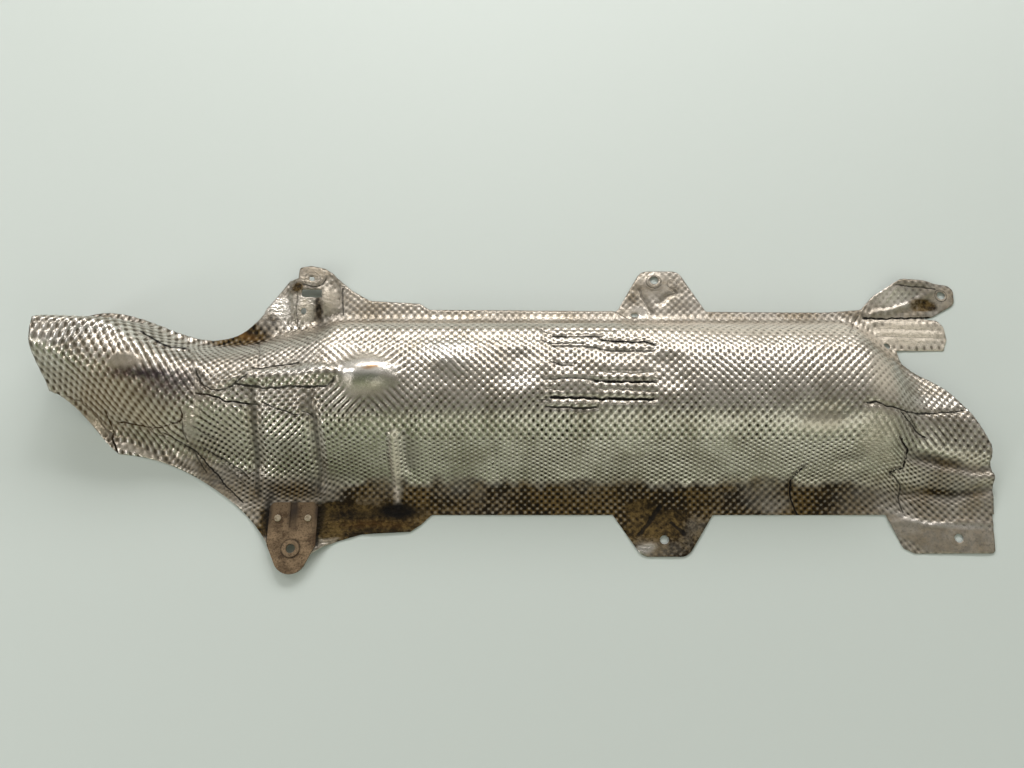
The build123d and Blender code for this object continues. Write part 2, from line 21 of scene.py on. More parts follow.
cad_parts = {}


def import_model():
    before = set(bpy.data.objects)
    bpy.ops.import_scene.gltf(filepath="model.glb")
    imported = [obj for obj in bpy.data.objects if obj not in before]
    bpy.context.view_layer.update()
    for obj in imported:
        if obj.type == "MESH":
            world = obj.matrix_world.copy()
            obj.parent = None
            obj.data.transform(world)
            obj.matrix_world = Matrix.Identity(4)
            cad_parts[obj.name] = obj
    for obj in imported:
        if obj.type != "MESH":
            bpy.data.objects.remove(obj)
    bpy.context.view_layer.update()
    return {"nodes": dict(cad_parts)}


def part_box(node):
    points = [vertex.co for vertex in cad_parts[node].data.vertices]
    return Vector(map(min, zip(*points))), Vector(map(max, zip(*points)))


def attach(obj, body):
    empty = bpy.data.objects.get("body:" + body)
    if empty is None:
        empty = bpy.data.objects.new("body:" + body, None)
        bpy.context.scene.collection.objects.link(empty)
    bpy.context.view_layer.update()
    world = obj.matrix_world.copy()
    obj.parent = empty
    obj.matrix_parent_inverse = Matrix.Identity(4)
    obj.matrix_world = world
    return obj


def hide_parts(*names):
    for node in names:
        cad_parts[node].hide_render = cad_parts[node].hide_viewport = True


LOG = logging.getLogger("heat_shield")
MM = 0.001
EMBOSS_PITCH = 7.6
Pixel = tuple[float, float]
Colour = tuple[float, float, float]


def smooth_steps(start: float, end: float, value: np.ndarray) -> np.ndarray:
    """Rise smoothly from 0 at start to 1 at end."""
    t = np.clip((value - start) / (end - start), 0.0, 1.0)
    return t * t * (3.0 - 2.0 * t)


def linear(red: int, green: int, blue: int) -> Colour:
    """Turn an 8-bit sRGB colour into the linear colour that a shader takes."""
    shares = (c / 255 for c in (red, green, blue))
    return tuple(((s + 0.055) / 1.055) ** 2.4 if s > 0.04045 else s / 12.92 for s in shares)


class Noise:
    """Seeded smooth noise over the sheet."""

    CELLS = 64
    ORIGIN = (17.3, 9.7)
    OCTAVE_SHIFT = (31, -23)

    def __init__(self, seed: int) -> None:
        """Draw the random values once."""
        self.values = np.random.default_rng(seed).uniform(-1.0, 1.0, (self.CELLS, self.CELLS))

    def at(self, u: np.ndarray, v: np.ndarray, size: float) -> np.ndarray:
        """Give one octave of noise.

        Args:
            u: Places along the sheet.
            v: Places across it.
            size: How large the blobs are.

        Returns:
            The noise, from -1 to 1.
        """
        a, b = u / size + self.ORIGIN[0], v / size + self.ORIGIN[1]
        i, j = np.floor(a).astype(int), np.floor(b).astype(int)
        s, t = smooth_steps(0.0, 1.0, a - i), smooth_steps(0.0, 1.0, b - j)
        n = self.CELLS
        low = self.values[i % n, j % n] * (1 - s) + self.values[(i + 1) % n, j % n] * s
        high = self.values[i % n, (j + 1) % n] * (1 - s) + self.values[(i + 1) % n, (j + 1) % n] * s
        return low * (1 - t) + high * t

    def rough(self, u: np.ndarray, v: np.ndarray, size: float, octaves: int = 3) -> np.ndarray:
        """Give several octaves of noise, each half as large and half as strong."""
        along, across = self.OCTAVE_SHIFT
        return sum(self.at(u + along * k, v + across * k, size / 2**k) / 2**k for k in range(octaves))


@dataclass(frozen=True)
class PhotoCamera:
    """The camera that looks down on the lying shield as the photograph looks at it."""

    place_mm: tuple[float, float, float] = (-4.75, -332.0, 877.7)
    tilt_deg: float = 22.5
    focal_px: float = 975.0
    width_px: int = 1024
    height_px: int = 768
    sensor_mm: float = 36.0

    def build(self) -> None:
        """Create the camera and make it the scene's own."""
        data = bpy.data.cameras.new("photo_camera")
        data.sensor_width = self.sensor_mm
        data.lens = self.sensor_mm * self.focal_px / self.width_px
        camera = bpy.data.objects.new("photo_camera", data)
        camera.location = Vector(self.place_mm) * MM
        camera.rotation_euler = (math.radians(self.tilt_deg), 0.0, 0.0)
        bpy.context.scene.collection.objects.link(camera)
        bpy.context.scene.camera = camera

    def ray(self, pixel: Pixel) -> Vector:
        """Give the direction in which the camera sees a pixel.

        Args:
            pixel: A pixel of the photograph.

        Returns:
            The direction, of length 1.
        """
        tilt = math.radians(self.tilt_deg)
        right = (pixel[0] - 0.5 * self.width_px) / self.focal_px
        up = (0.5 * self.height_px - pixel[1]) / self.focal_px
        forward = Vector((0.0, math.sin(tilt), -math.cos(tilt)))
        lift = Vector((0.0, math.cos(tilt), math.sin(tilt)))
        return (forward + Vector((right, 0.0, 0.0)) + lift * up).normalized()


class SheetSurface:
    """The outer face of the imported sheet, read by rays into a smooth field of heights."""

    MARGIN = 12.0
    SPACING = 1.0
    SKY_M = 0.3
    AXIS_Y = 13.5
    SIGHT = np.arange(700.0, 1300.0, 0.25)

    # How the heights are blurred, and carried on past the outline
    FACET_BLUR = 3.2
    FAR_BLUR = 6
    BELL_REACH = 3
    KNOWN_SHARE = (0.002, 0.05)
    TINY = 1e-9
    LAST_CELL = 1.001

    # The fuller far shoulder
    BACK_Y = 74.0
    BACK_REACH = 25.0
    SCOOP_RISE = 11.0
    SCOOP_END_X = (-378.0, -345.0)
    BARREL_RISE = 10.0
    BARREL_START_X = (-190.0, -168.0)
    BARREL_END_X = (310.0, 350.0)
    BARREL_FLATTER_X = (110.0, 230.0)
    BARREL_FLATTER = 0.4

    # The flat arm past the end of the barrel
    ARM_START_X = (345.0, 365.0)
    ARM_START_Y = (58.0, 70.0)
    ARM_SHIFT = -5.0

    def __init__(self, node: bpy.types.Object) -> None:
        """Read the heights.

        Args:
            node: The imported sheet. It is only read.
        """
        self.tree = BVHTree.FromObject(node, bpy.context.evaluated_depsgraph_get())
        self.low, self.high = (np.array(corner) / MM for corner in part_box(node.name))
        starts, ends = self.low - self.MARGIN, self.high + self.MARGIN
        self.xs, self.ys = (np.arange(starts[k], ends[k], self.SPACING) for k in (0, 1))
        raw = np.array([[self.top(x, y) for y in self.ys] for x in self.xs])
        self.heights = np.minimum(self._blurred(raw, self.FACET_BLUR) + self._fuller_back(), self.high[2])
        slope = np.gradient(self._blurred(raw, 2 * self.FACET_BLUR), self.SPACING, axis=1)
        lengths = np.cumsum(np.sqrt(1 + slope**2), axis=1) * self.SPACING
        axis = int(round((self.AXIS_Y - self.ys[0]) / self.SPACING))
        self.across = self._straight_arm(lengths - lengths[:, axis : axis + 1])
        self.slope_x, self.slope_y = np.gradient(self.heights, self.SPACING)

    def _fuller_back(self) -> np.ndarray:
        """Fill out the far shoulder of the scoop and the barrel.

        Returns:
            The rise at each point of the field.
        """
        scoop = self.SCOOP_RISE * (1 - smooth_steps(*self.SCOOP_END_X, self.xs))
        barrel = smooth_steps(*self.BARREL_START_X, self.xs) - smooth_steps(*self.BARREL_END_X, self.xs)
        flatter = 1 - self.BARREL_FLATTER * smooth_steps(*self.BARREL_FLATTER_X, self.xs)
        across = 1 - smooth_steps(0.0, 1.0, np.abs(self.ys - self.BACK_Y) / self.BACK_REACH)
        return (scoop + self.BARREL_RISE * barrel * flatter)[:, None] * across

    def _straight_arm(self, lengths: np.ndarray) -> np.ndarray:
        """Measure the flat arm straight across, past the end of the barrel."""
        share = smooth_steps(*self.ARM_START_X, self.xs)[:, None] * smooth_steps(*self.ARM_START_Y, self.ys)
        return lengths * (1 - share) + (self.ys + self.ARM_SHIFT) * share

    def top(self, x: float, y: float) -> float:
        """Give the height of the outer face, or NaN past the outline."""
        hit = self.tree.ray_cast(Vector((x * MM, y * MM, self.SKY_M)), Vector((0.0, 0.0, -1.0)))[0]
        return math.nan if hit is None else hit.z / MM

    def inside(self, x: float, y: float) -> bool:
        """Say whether the sheet is there."""
        return not math.isnan(self.top(x, y))

    def _blurred(self, raw: np.ndarray, sigma: float) -> np.ndarray:
        """Blur the heights inside the outline, and carry them on past it.

        Args:
            raw: The heights, with NaN past the outline.
            sigma: The bell curve's width.

        Returns:
            The heights without gaps.
        """
        known = (~np.isnan(raw)).astype(float)
        total = np.nan_to_num(raw)
        near_share = self._blur(known, sigma)
        near = self._blur(total, sigma) / np.maximum(near_share, self.TINY)
        wide = self.FAR_BLUR * sigma
        far = self._blur(total, wide) / np.maximum(self._blur(known, wide), self.TINY)
        share = smooth_steps(*self.KNOWN_SHARE, near_share)
        return near * share + far * (1 - share)

    def _blur(self, field: np.ndarray, sigma: float) -> np.ndarray:
        """Blur a field with a bell curve along both axes.

        Args:
            field: A field over the sheet.
            sigma: The bell curve's width.

        Returns:
            The blurred field.
        """
        reach = int(math.ceil(self.BELL_REACH * sigma / self.SPACING))
        bell = np.exp(-0.5 * (np.arange(-reach, reach + 1) * self.SPACING / sigma) ** 2)
        bell /= bell.sum()
        padded = np.pad(field, reach, mode="edge")
        rows = np.apply_along_axis(np.convolve, 0, padded, bell, "valid")
        return np.apply_along_axis(np.convolve, 1, rows, bell, "valid")

    def sample(self, field: np.ndarray, x: np.ndarray, y: np.ndarray) -> np.ndarray:
        """Read one of the fields between its points.

        Args:
            field: One of the fields over the sheet.
            x: Places along the sheet.
            y: Places across it, seen from above.

        Returns:
            The field's values there.
        """
        a = np.clip((x - self.xs[0]) / self.SPACING, 0, len(self.xs) - self.LAST_CELL)
        b = np.clip((y - self.ys[0]) / self.SPACING, 0, len(self.ys) - self.LAST_CELL)
        i, j = np.floor(a).astype(int), np.floor(b).astype(int)
        s, t = a - i, b - j
        low = field[i, j] * (1 - s) + field[i + 1, j] * s
        high = field[i, j + 1] * (1 - s) + field[i + 1, j + 1] * s
        return low * (1 - t) + high * t

    def seen(self, camera: PhotoCamera, pixel: Pixel) -> tuple[float, float]:
        """Find the place on the sheet that the camera sees at a pixel.

        Args:
            camera: The photograph's camera.
            pixel: A pixel of the photograph.

        Returns:
            The place along the sheet, and the place across it when it is laid flat.
        """
        eye, ray = np.array(camera.place_mm), np.array(camera.ray(pixel))
        path = eye + self.SIGHT[:, None] * ray
        under = path[:, 2] < self.sample(self.heights, path[:, 0], path[:, 1])
        x, y = path[int(np.argmax(under)), :2]
        return float(x), float(self.sample(self.across, np.array(x), np.array(y)))


class Mark(Enum):
    """Which way a line on the sheet is pressed."""

    DENT = -1.0
    RIDGE = 1.0


@dataclass(frozen=True)
class Line:
    """A crack, fold, ridge or groove along pixels of the photograph."""

    name: str
    pixels: tuple[Pixel, ...]
    half_width: float = 1.4
    depth: float = 1.0
    # How dark the line is painted: a crack, or painted shade in a valley or bead or beside an edge
    ink: float = 0.0
    ink_width: float = 0.8
    mark: Mark = Mark.DENT
    flatten: float = 0.5
    ragged: float = 1.0


@dataclass(frozen=True)
class Ring:
    """A ring pressed around a hole."""

    name: str
    centre: Pixel
    radius: float
    height: float = 0.35
    ink: float = 0.5
    ink_width: float = 0.5


@dataclass(frozen=True)
class Patch:
    """A soft oval on the sheet around a pixel of the photograph."""

    edge: float
    name: str
    centre: Pixel
    reach: tuple[float, float]
    strength: float
    turn_deg: float = 0.0


def patches(by_edge: dict[float, list[tuple]]) -> tuple[Patch, ...]:
    """Make the patches of one kind.

    Args:
        by_edge: For each softness of the edge, the patches' names, centres in pixels, reaches,
            strengths and, where they are turned, turns in degrees.

    Returns:
        The patches.
    """
    return tuple(Patch(edge, *row) for edge, rows in by_edge.items() for row in rows)


# Cracks and sharp folds, with painted shadow beside the neck fold and under the neck bead
CRACKS = (
    Line("flare_crack_top", ((903, 412), (911, 421), (917, 431), (926, 437)), 1.5, 1.6, 0.95, 1.0),
    Line("flare_crack_branch", ((909, 412), (913, 418), (917, 427)), 1.2, 1.0, 0.8, 0.7),
    Line("flare_crack", (
        (902, 438), (907, 446), (911, 452), (908, 460), (903, 469), (896, 471), (890, 474),
    ), 1.8, 2.2, 1.0, 1.1),
    Line("flare_crack_tail", (
        (892, 475), (898, 482), (902, 489), (899, 499), (902, 511),
    ), 1.6, 1.4, 0.75, 0.9),
    Line("flare_fold", (
        (868, 402), (879, 402), (893, 407), (908, 411), (936, 412), (964, 410),
    ), 1.8, 1.8, 0.95, 0.9),
    Line("barrel_foot_crack", (
        (804, 467), (797, 475), (791, 483), (791, 495), (793, 506), (797, 515),
    ), 1.5, 1.8, 1.0, 0.9),
    Line("scoop_crack", (
        (119, 424), (133, 426), (150, 430), (166, 427), (177, 424), (182, 419), (180, 412),
    ), 1.6, 2.0, 1.0, 0.9),
    Line("scoop_crack_spur", ((147, 430), (155, 435), (163, 437)), 1.2, 1.0, 0.7, 0.6),
    Line("scoop_lip_crack", (
        (104, 412), (108, 422), (111, 436), (114, 444), (118, 454),
    ), 1.6, 1.8, 1.0, 0.9),
    Line("scoop_lip_fold", ((66, 397), (80, 403), (93, 416), (104, 428), (113, 441)), 2.2, 1.4, 0.65, 0.9),
    Line("scoop_top_crack", (
        (142, 332), (148, 336), (157, 341), (166, 346), (176, 348), (186, 349),
    ), 3.0, 1.8, 1.0, 2.6, mark=Mark.RIDGE),
    Line("neck_fold", (
        (193, 346), (195, 368), (197, 392), (196, 414), (193, 426),
    ), 1.8, 1.6, mark=Mark.RIDGE),
    # Painted shadow beside the neck fold
    Line("neck_fold_shadow", ((199, 369), (201, 392), (199, 415)), 1.6, 1.2, 0.35, 0.7),
    Line("neck_curl", (
        (196, 371), (200, 382), (208, 388), (219, 390), (228, 388), (238, 380), (247, 375),
    ), 1.4, 1.6, 0.9, 0.8),
    Line("neck_crack", ((197, 393), (210, 395), (224, 401), (240, 403), (256, 405)), 1.6, 2.0, 1.0, 1.0),
    Line("neck_crack_right", ((263, 403), (276, 408), (290, 413), (297, 415)), 1.4, 1.6, 0.9, 0.8),
    Line("neck_crack_end", ((302, 411), (308, 414), (312, 419)), 1.3, 1.4, 0.8, 0.8),
    Line("neck_upper_crack", (
        (252, 367), (262, 368), (270, 365), (284, 364), (298, 361),
    ), 1.4, 1.6, 0.95, 0.9),
    Line("neck_upper_nick", ((236, 358), (242, 357), (248, 354)), 1.2, 1.0, 0.7, 0.7),
    Line("neck_edge_fold", ((258, 342), (260, 352), (257, 362)), 1.6, 1.4, 0.5, 0.7),
    Line("lug_root_crack", ((240, 342), (250, 345), (259, 349)), 1.3, 1.2, 0.7, 0.7),
    # Painted shadow under the neck bead
    Line("bead_shadow", (
        (234, 384), (246, 385), (263, 388), (290, 386), (312, 387), (326, 386), (335, 378),
    ), 1.8, 1.8, 0.9, 1.0),
    Line("bead_nick", ((268, 386), (274, 379), (280, 377)), 1.2, 1.0, 0.6, 0.6),
    Line("fan_fold_long", (
        (163, 434), (178, 442), (192, 451), (205, 462), (217, 474), (229, 489), (242, 502),
    ), 1.6, 1.8, 0.95, 0.8),
    Line("fan_fold_short", ((182, 424), (183, 434), (187, 442)), 1.4, 1.4, 0.8, 0.7),
    Line("fan_fold_middle", ((188, 446), (197, 459), (206, 472)), 1.4, 1.2, 0.7, 0.7),
    Line("fan_fold_upper", ((203, 448), (214, 456), (230, 464), (247, 476)), 1.4, 1.4, 0.8, 0.7),
    Line("fan_fold_top", ((193, 426), (203, 434), (216, 441)), 1.4, 1.2, 0.7, 0.7),
    Line("fan_fold_low", ((222, 463), (233, 472), (246, 485)), 1.4, 1.0, 0.5, 0.6),
)

# Pleats across the crown
PLEAT_LINES = (
    Line("pleat_1", ((552, 329), (585, 329), (616, 329)), 1.3, 1.4, 0.55, 0.9),
    Line("pleat_1_end", ((540, 328), (546, 331), (551, 332)), 1.2, 1.4, 0.7, 0.9),
    Line("pleat_2", ((552, 335), (585, 335), (601, 335)), 1.6, 2.4, 0.95, 1.2),
    Line("pleat_2_end", ((601, 338), (612, 340), (644, 340), (656, 343)), 1.7, 2.7, 1.0, 1.4),
    Line("pleat_3", ((542, 339), (550, 342), (584, 342)), 1.4, 1.6, 0.7, 1.0),
    Line("pleat_4", ((553, 345), (584, 345), (600, 348), (612, 350), (655, 350)), 1.5, 2.0, 0.8, 1.2),
    Line("pleat_5", ((551, 361), (562, 364), (573, 365)), 1.4, 1.6, 0.8, 1.0),
    Line("pleat_6", ((600, 371), (630, 372), (655, 371)), 1.3, 1.4, 0.5, 0.9),
    Line("pleat_7", ((544, 378), (575, 378), (595, 379)), 1.4, 1.8, 0.75, 1.0),
    Line("pleat_7_end", ((594, 380), (622, 381), (656, 381)), 1.7, 2.7, 1.0, 1.4),
    Line("pleat_8", ((600, 387), (630, 389), (655, 391)), 1.4, 1.6, 0.6, 1.0),
    Line("pleat_8_end", ((545, 388), (561, 390)), 1.2, 1.2, 0.5, 0.8),
    Line("pleat_9", ((551, 397), (590, 398), (625, 399), (655, 399)), 1.7, 2.7, 1.0, 1.4),
    Line("pleat_9_end", ((540, 400), (550, 400)), 1.2, 1.4, 0.7, 1.0),
    Line("pleat_10", ((546, 407), (570, 408), (597, 408)), 1.5, 2.2, 0.9, 1.2),
)

# Beads, valleys and edges, with painted shade in the valleys and beads and beside ridges, folds and edges
FORM_LINES = (
    Line("neck_bead", ((248, 374), (290, 371), (333, 370)), 6.0, 2.0, mark=Mark.RIDGE, flatten=0.2),
    # Painted shade in the neck's two valleys
    Line("left_valley", ((252, 388), (254, 430), (256, 470), (259, 497)), 6.0, 3.0, 0.5, 2.6, flatten=0.3),
    Line("right_valley", ((306, 392), (313, 420), (318, 455), (318, 490)), 5.5, 3.0, 0.5, 2.2, flatten=0.3),
    Line("wall_rib", ((392, 434), (395, 470), (401, 506)), 3.6, 2.2, mark=Mark.RIDGE, flatten=0.3),
    # Painted shade on the rib's far side
    Line("wall_rib_side", ((403, 436), (409, 470)), 4.0, 1.4, 0.25, 2.0, flatten=0.0),
    # Painted shade in the flare's two valleys
    Line("valley_one", (
        (911, 456), (926, 458), (946, 463), (966, 468), (976, 470), (992, 467),
    ), 5.0, 2.6, 0.3, 2.6, flatten=0.3),
    Line("valley_two", (
        (903, 492), (925, 492), (946, 497), (970, 492), (992, 488),
    ), 5.0, 2.6, 0.3, 2.6, flatten=0.3),
    Line("foot_bend", (
        (890, 524), (905, 522), (918, 521), (925, 525), (945, 524), (967, 521), (996, 524),
    ), 2.0, 0.9, mark=Mark.RIDGE),
    Line("lug_fold", ((293, 290), (294, 308), (294, 328)), 1.8, 1.0, mark=Mark.RIDGE),
    # Painted shade beside the lug's fold, in its valley and beside its rib
    Line("lug_fold_shadow", ((297, 294), (297, 326)), 1.4, 1.0, 0.5, 0.8),
    Line("lug_valley", ((316, 295), (318, 308), (319, 322)), 3.5, 2.0, 0.3, 2.4, ragged=0.4),
    Line("lug_rib", ((333, 275), (337, 290), (339, 313)), 2.0, 1.2, mark=Mark.RIDGE),
    Line("lug_rib_shadow", ((343, 288), (343, 314)), 1.5, 1.2, 0.7, 0.9),
    Line("shoulder_edge", ((305, 338), (314, 338), (321, 324), (330, 316), (342, 313)), 1.8, 1.0, 0.35, 0.8),
    # Painted shadow under the pad's edge
    Line("pad_edge", ((303, 284), (312, 287), (323, 285), (326, 279)), 1.2, 0.8, 0.8, 0.8),
    # Painted shade in the lower tab's beads
    Line("tab_bead_left", ((640, 534), (650, 521), (661, 506)), 3.2, 2.4, 0.85, 2.4),
    Line("tab_bead_left_edge", ((644, 533), (655, 519), (664, 507)), 1.6, 1.4, mark=Mark.RIDGE),
    Line("tab_bead_end", ((638, 535), (642, 531)), 2.8, 1.2, 0.85, 2.0),
    Line("tab_bead_right", ((671, 522), (678, 528), (684, 534)), 2.8, 2.2, 0.85, 2.0),
    Line("tab_bead_right_edge", ((672, 531), (679, 538), (684, 540), (690, 538)), 1.1, 0.8, mark=Mark.RIDGE),
    # Painted shade in the upper tab's beads
    Line("upper_bead_left", ((639, 290), (644, 300), (652, 314)), 2.4, 1.6, 0.42, 1.6),
    Line("upper_bead_right", ((677, 292), (668, 296), (660, 303)), 2.2, 1.2, 0.32, 1.4),
    Line("upper_tab_end", ((674, 290), (677, 293)), 2.2, 0.8, 0.55, 1.6),
    Line("upper_tab_crack", ((614, 310), (621, 315), (627, 318)), 1.2, 0.8, 0.45, 0.7),
    # Painted shadow under the upper prong's edge
    Line("prong_shadow", ((864, 318), (876, 319), (890, 318), (905, 318), (930, 318)), 1.8, 1.6, 1.0, 1.0),
    Line("prong_fold_upper", ((868, 326), (900, 325), (937, 325)), 1.8, 0.5, mark=Mark.RIDGE, ragged=0.2),
    Line("prong_fold_lower", ((872, 337), (900, 337), (943, 338)), 1.6, 0.6, 0.25, 0.6, ragged=0.2),
    Line("prong_fold_middle", ((874, 330), (910, 329), (941, 330)), 1.5, 0.5, 0.18, 0.5, ragged=0.2),
    Line("prong_twist", (
        (872, 314), (890, 311), (907, 305), (922, 298), (934, 289),
    ), 2.6, 1.6, mark=Mark.RIDGE, ragged=0.2),
    Line("prong_under", ((900, 314), (915, 309), (930, 305)), 4.0, 1.0, ragged=0.3),
    Line("prong_crease", ((883, 306), (890, 295), (897, 286)), 1.4, 0.9, mark=Mark.RIDGE, ragged=0.3),
    Line("prong_edge", ((897, 284), (915, 287), (934, 289)), 1.4, 1.0, 0.8, 0.8),
    Line("prong_root", ((858, 316), (853, 323), (850, 331)), 1.5, 1.2, 0.6, 0.8),
    # Painted shadow beside the tongue
    Line("tongue_side_left", ((268, 502), (267, 525), (268, 545)), 3.0, 1.0, 0.85, 2.0),
    Line("tongue_side_right", ((320, 506), (318, 525), (316, 545)), 3.0, 1.0, 0.85, 2.0),
)

# Rings around the holes
RINGS = (
    Ring("lower_tab_ring", (663.5, 540.4), 6.4, 0.7, 0.2),
    Ring("lower_tab_outer_ring", (663.5, 540.4), 9.6, 0.4, 0.2),
    Ring("upper_tab_ring", (653.8, 281.6), 7.6, 0.8, 0.35, 0.6),
    Ring("upper_tab_mark", (672.0, 284.0), 5.0, 0.3, 0.35),
    Ring("prong_ring", (940.6, 295.7), 6.3, 0.4, 0.6),
    Ring("pad_ring", (312.4, 279.4), 8.0, 0.3, 0.3),
)

# Where the embossing is flattened
SMOOTH_PATCHES = patches({
    0.3: [
        ("boss", (366, 375), (30, 24), 1.0),
    ],
    0.45: [
        ("lug_pad", (313, 276), (19, 14), 0.95),
        ("lug_plate", (305, 308), (9, 15), 0.8),
        ("lug_side", (328, 299), (11, 15), 0.85),
        ("lug_ear", (296, 288), (9, 8), 0.9),
        ("lug_seam", (300, 332), (60, 7), 0.7, 6),
        ("upper_tab", (655, 287), (24, 17), 0.85),
        ("slot_field", (636, 313), (13, 9), 0.7),
        ("lower_tab", (660, 541), (34, 17), 0.9),
        ("lower_tab_flat", (641, 509), (16, 11), 0.9),
        ("lower_tab_right", (692, 536), (24, 24), 0.9),
        ("foot", (952, 539), (72, 17), 0.97),
        ("foot_left", (905, 531), (24, 10), 0.95),
        ("lower_prong", (908, 335), (48, 15), 0.85),
        ("prong_tip", (938, 299), (17, 14), 0.9),
        ("prong_shade", (915, 308), (22, 8), 0.8),
        ("tongue_seat", (292, 540), (36, 42), 0.9),
        ("scoop_oval", (124, 359), (17, 9), 0.9, -14),
        ("lip_strip", (92, 424), (34, 6), 0.85, 48),
        ("scoop_hem", (150, 457), (45, 6), 0.75, 14),
        ("scoop_hem_far", (215, 483), (45, 9), 0.75, 38),
        ("fold_strip", (189, 425), (9, 24), 0.8),
        ("fan_field", (215, 470), (38, 12), 0.5, 42),
        ("barrel_end", (884, 432), (26, 34), 0.45),
        ("barrel_shoulder", (884, 378), (22, 30), 0.35),
        ("crown_bump", (443, 366), (18, 12), 0.2),
        ("flange_root", (350, 520), (92, 24), 0.9),
        ("upper_flange_root", (240, 333), (22, 8), 0.6),
    ],
    0.6: [
        ("lug_left", (272, 312), (22, 22), 0.55),
        ("lower_tab_root", (668, 527), (44, 22), 0.85),
    ],
    0.9: [
        ("scoop_left", (42, 350), (26, 42), 0.5),
    ],
    0.8: [
        ("barrel_end_dip", (826, 422), (32, 20), 0.55),
    ],
})

# Bumps and dents, with their height as the strength
SWELLS = patches({
    1.0: [
        ("boss_crest", (366, 369), (31, 17), 3.4),
        ("boss_under", (366, 386), (26, 9), -1.2),
        ("crown_bump", (448, 356), (27, 18), 1.1),
        ("crown_dip", (516, 357), (22, 11), -2.0),
        ("middle_bump", (517, 381), (24, 13), 0.8),
        ("pleat_dip", (668, 361), (20, 11), -2.2),
        ("pleat_bump", (670, 385), (20, 12), 0.8),
        ("end_dip", (822, 411), (30, 9), -1.8),
        ("end_bump", (824, 430), (30, 13), 0.7),
        ("end_dent", (848, 462), (16, 10), -1.6),
        ("scoop_dent", (124, 360), (20, 10), -1.4, -14),
        ("scoop_hollow", (140, 380), (34, 12), -1.2, 10),
    ],
})

# Where the bumps run into diagonal streaks, falling or rising to the right
STREAK_PATCHES = patches({
    0.6: [
        ("scoop", (130, 390), (120, 95), 0.42),
        ("scoop_top", (90, 325), (60, 14), -0.25),
        ("flange_right", (730, 503), (110, 30), -0.3),
    ],
    0.8: [
        ("scoop_ridges", (160, 354), (34, 24), 0.4),
        ("crown_left", (432, 362), (50, 40), 0.45),
        ("crown_right", (730, 366), (50, 40), 0.35),
        ("wall_middle", (590, 462), (70, 26), 0.35),
        ("crown_right_end", (845, 365), (60, 45), -0.5),
        ("wall_right", (740, 462), (90, 26), 0.5),
        ("wall_left", (470, 462), (70, 26), -0.3),
        ("neck_left", (225, 425), (28, 34), 0.3),
        ("neck_panel", (285, 432), (24, 30), -0.45),
        ("flare_upper", (930, 430), (40, 22), 0.5),
        ("foot_rise", (945, 510), (50, 16), 0.5),
    ],
    0.9: [
        ("middle", (500, 350), (60, 30), 0.5),
    ],
    0.7: [
        ("end_wall", (890, 450), (45, 40), 0.6),
    ],
})

# Heat stains, and painted shade under the boss and in a dip of the crown
SCORCH_AND_SHADE_PATCHES = patches({
    0.8: [
        ("smudge", (146, 373), (44, 9), 1.0, -8),
    ],
    0.9: [
        ("smudge_low", (170, 381), (34, 15), 0.85, -6),
        ("smudge_tail", (189, 382), (18, 26), 0.5),
        ("smudge_spread", (164, 385), (38, 24), 0.75, -10),
        # Painted shade under the boss's crest
        ("boss_shade", (365, 378), (24, 5), 0.45),
    ],
    1.0: [
        # Painted shade in the crown's dip
        ("crown_shade", (516, 352), (24, 8), 0.25),
    ],
})

# Brown dirt; on the prong's underside, in the flare's, neck's and lug's valleys and beside the rib it is
# painted shade
GRIME_AND_SHADE_PATCHES = patches({
    0.45: [
        ("neck_flange", (335, 519), (105, 22), 1.3),
        ("flange_brown", (375, 524), (55, 9), 1.5),
        # Painted shade on the upper prong's underside
        ("prong_shade", (921, 306), (21, 9), 1.1),
    ],
    0.9: [
        ("neck_foot", (290, 491), (80, 20), 0.8),
        ("scoop_film", (105, 398), (90, 56), 0.36),
        ("scoop_corner", (62, 384), (34, 24), 0.4, 40),
        ("lug_spots", (272, 318), (14, 9), 0.8, 30),
        ("lug_seam", (300, 334), (45, 6), 0.4, 4),
        ("flare_low", (950, 492), (70, 36), 0.6),
        # Painted shade in the flare's two valleys
        ("flare_valley_one", (948, 463), (54, 7), 0.95, 8),
        ("flare_valley_two", (948, 493), (54, 7), 0.95),
        ("barrel_foot", (860, 490), (45, 24), 0.5),
        ("scoop_hem", (150, 447), (52, 13), 0.5, 12),
        ("hem_far", (215, 480), (52, 20), 0.6, 36),
        ("fan", (200, 440), (45, 30), 0.3),
        ("neck_stain", (242, 360), (45, 16), 0.32),
        # Painted shade beside the wall rib and in the neck's two valleys
        ("rib_shade", (412, 455), (10, 22), 0.35),
        ("left_valley", (254, 440), (7, 50), 0.35),
        ("right_valley", (315, 440), (7, 50), 0.35),
    ],
    0.6: [
        ("upper_left_flange", (238, 337), (40, 26), 1.3, 18),
        ("lug_pad", (313, 276), (22, 13), 0.3),
        ("lower_tab_root", (650, 514), (40, 16), 1.0),
        ("foot", (950, 540), (66, 20), 0.6),
    ],
    0.8: [
        ("lug_foot", (268, 324), (18, 14), 0.6),
        # Painted shade in the lug's valley
        ("lug_valley", (319, 309), (7, 22), 1.0),
        ("lug_back", (334, 294), (16, 26), 0.3),
        ("upper_tab_left", (633, 299), (9, 8), 0.75),
        ("upper_tab_right", (685, 306), (13, 8), 0.6),
    ],
    0.7: [
        ("lug_ear", (297, 288), (11, 9), 1.2),
        ("upper_tab", (660, 286), (34, 18), 0.5),
        ("prong_tip", (941, 296), (14, 14), 0.45),
    ],
    0.5: [
        ("prong", (905, 335), (52, 22), 0.15),
    ],
})

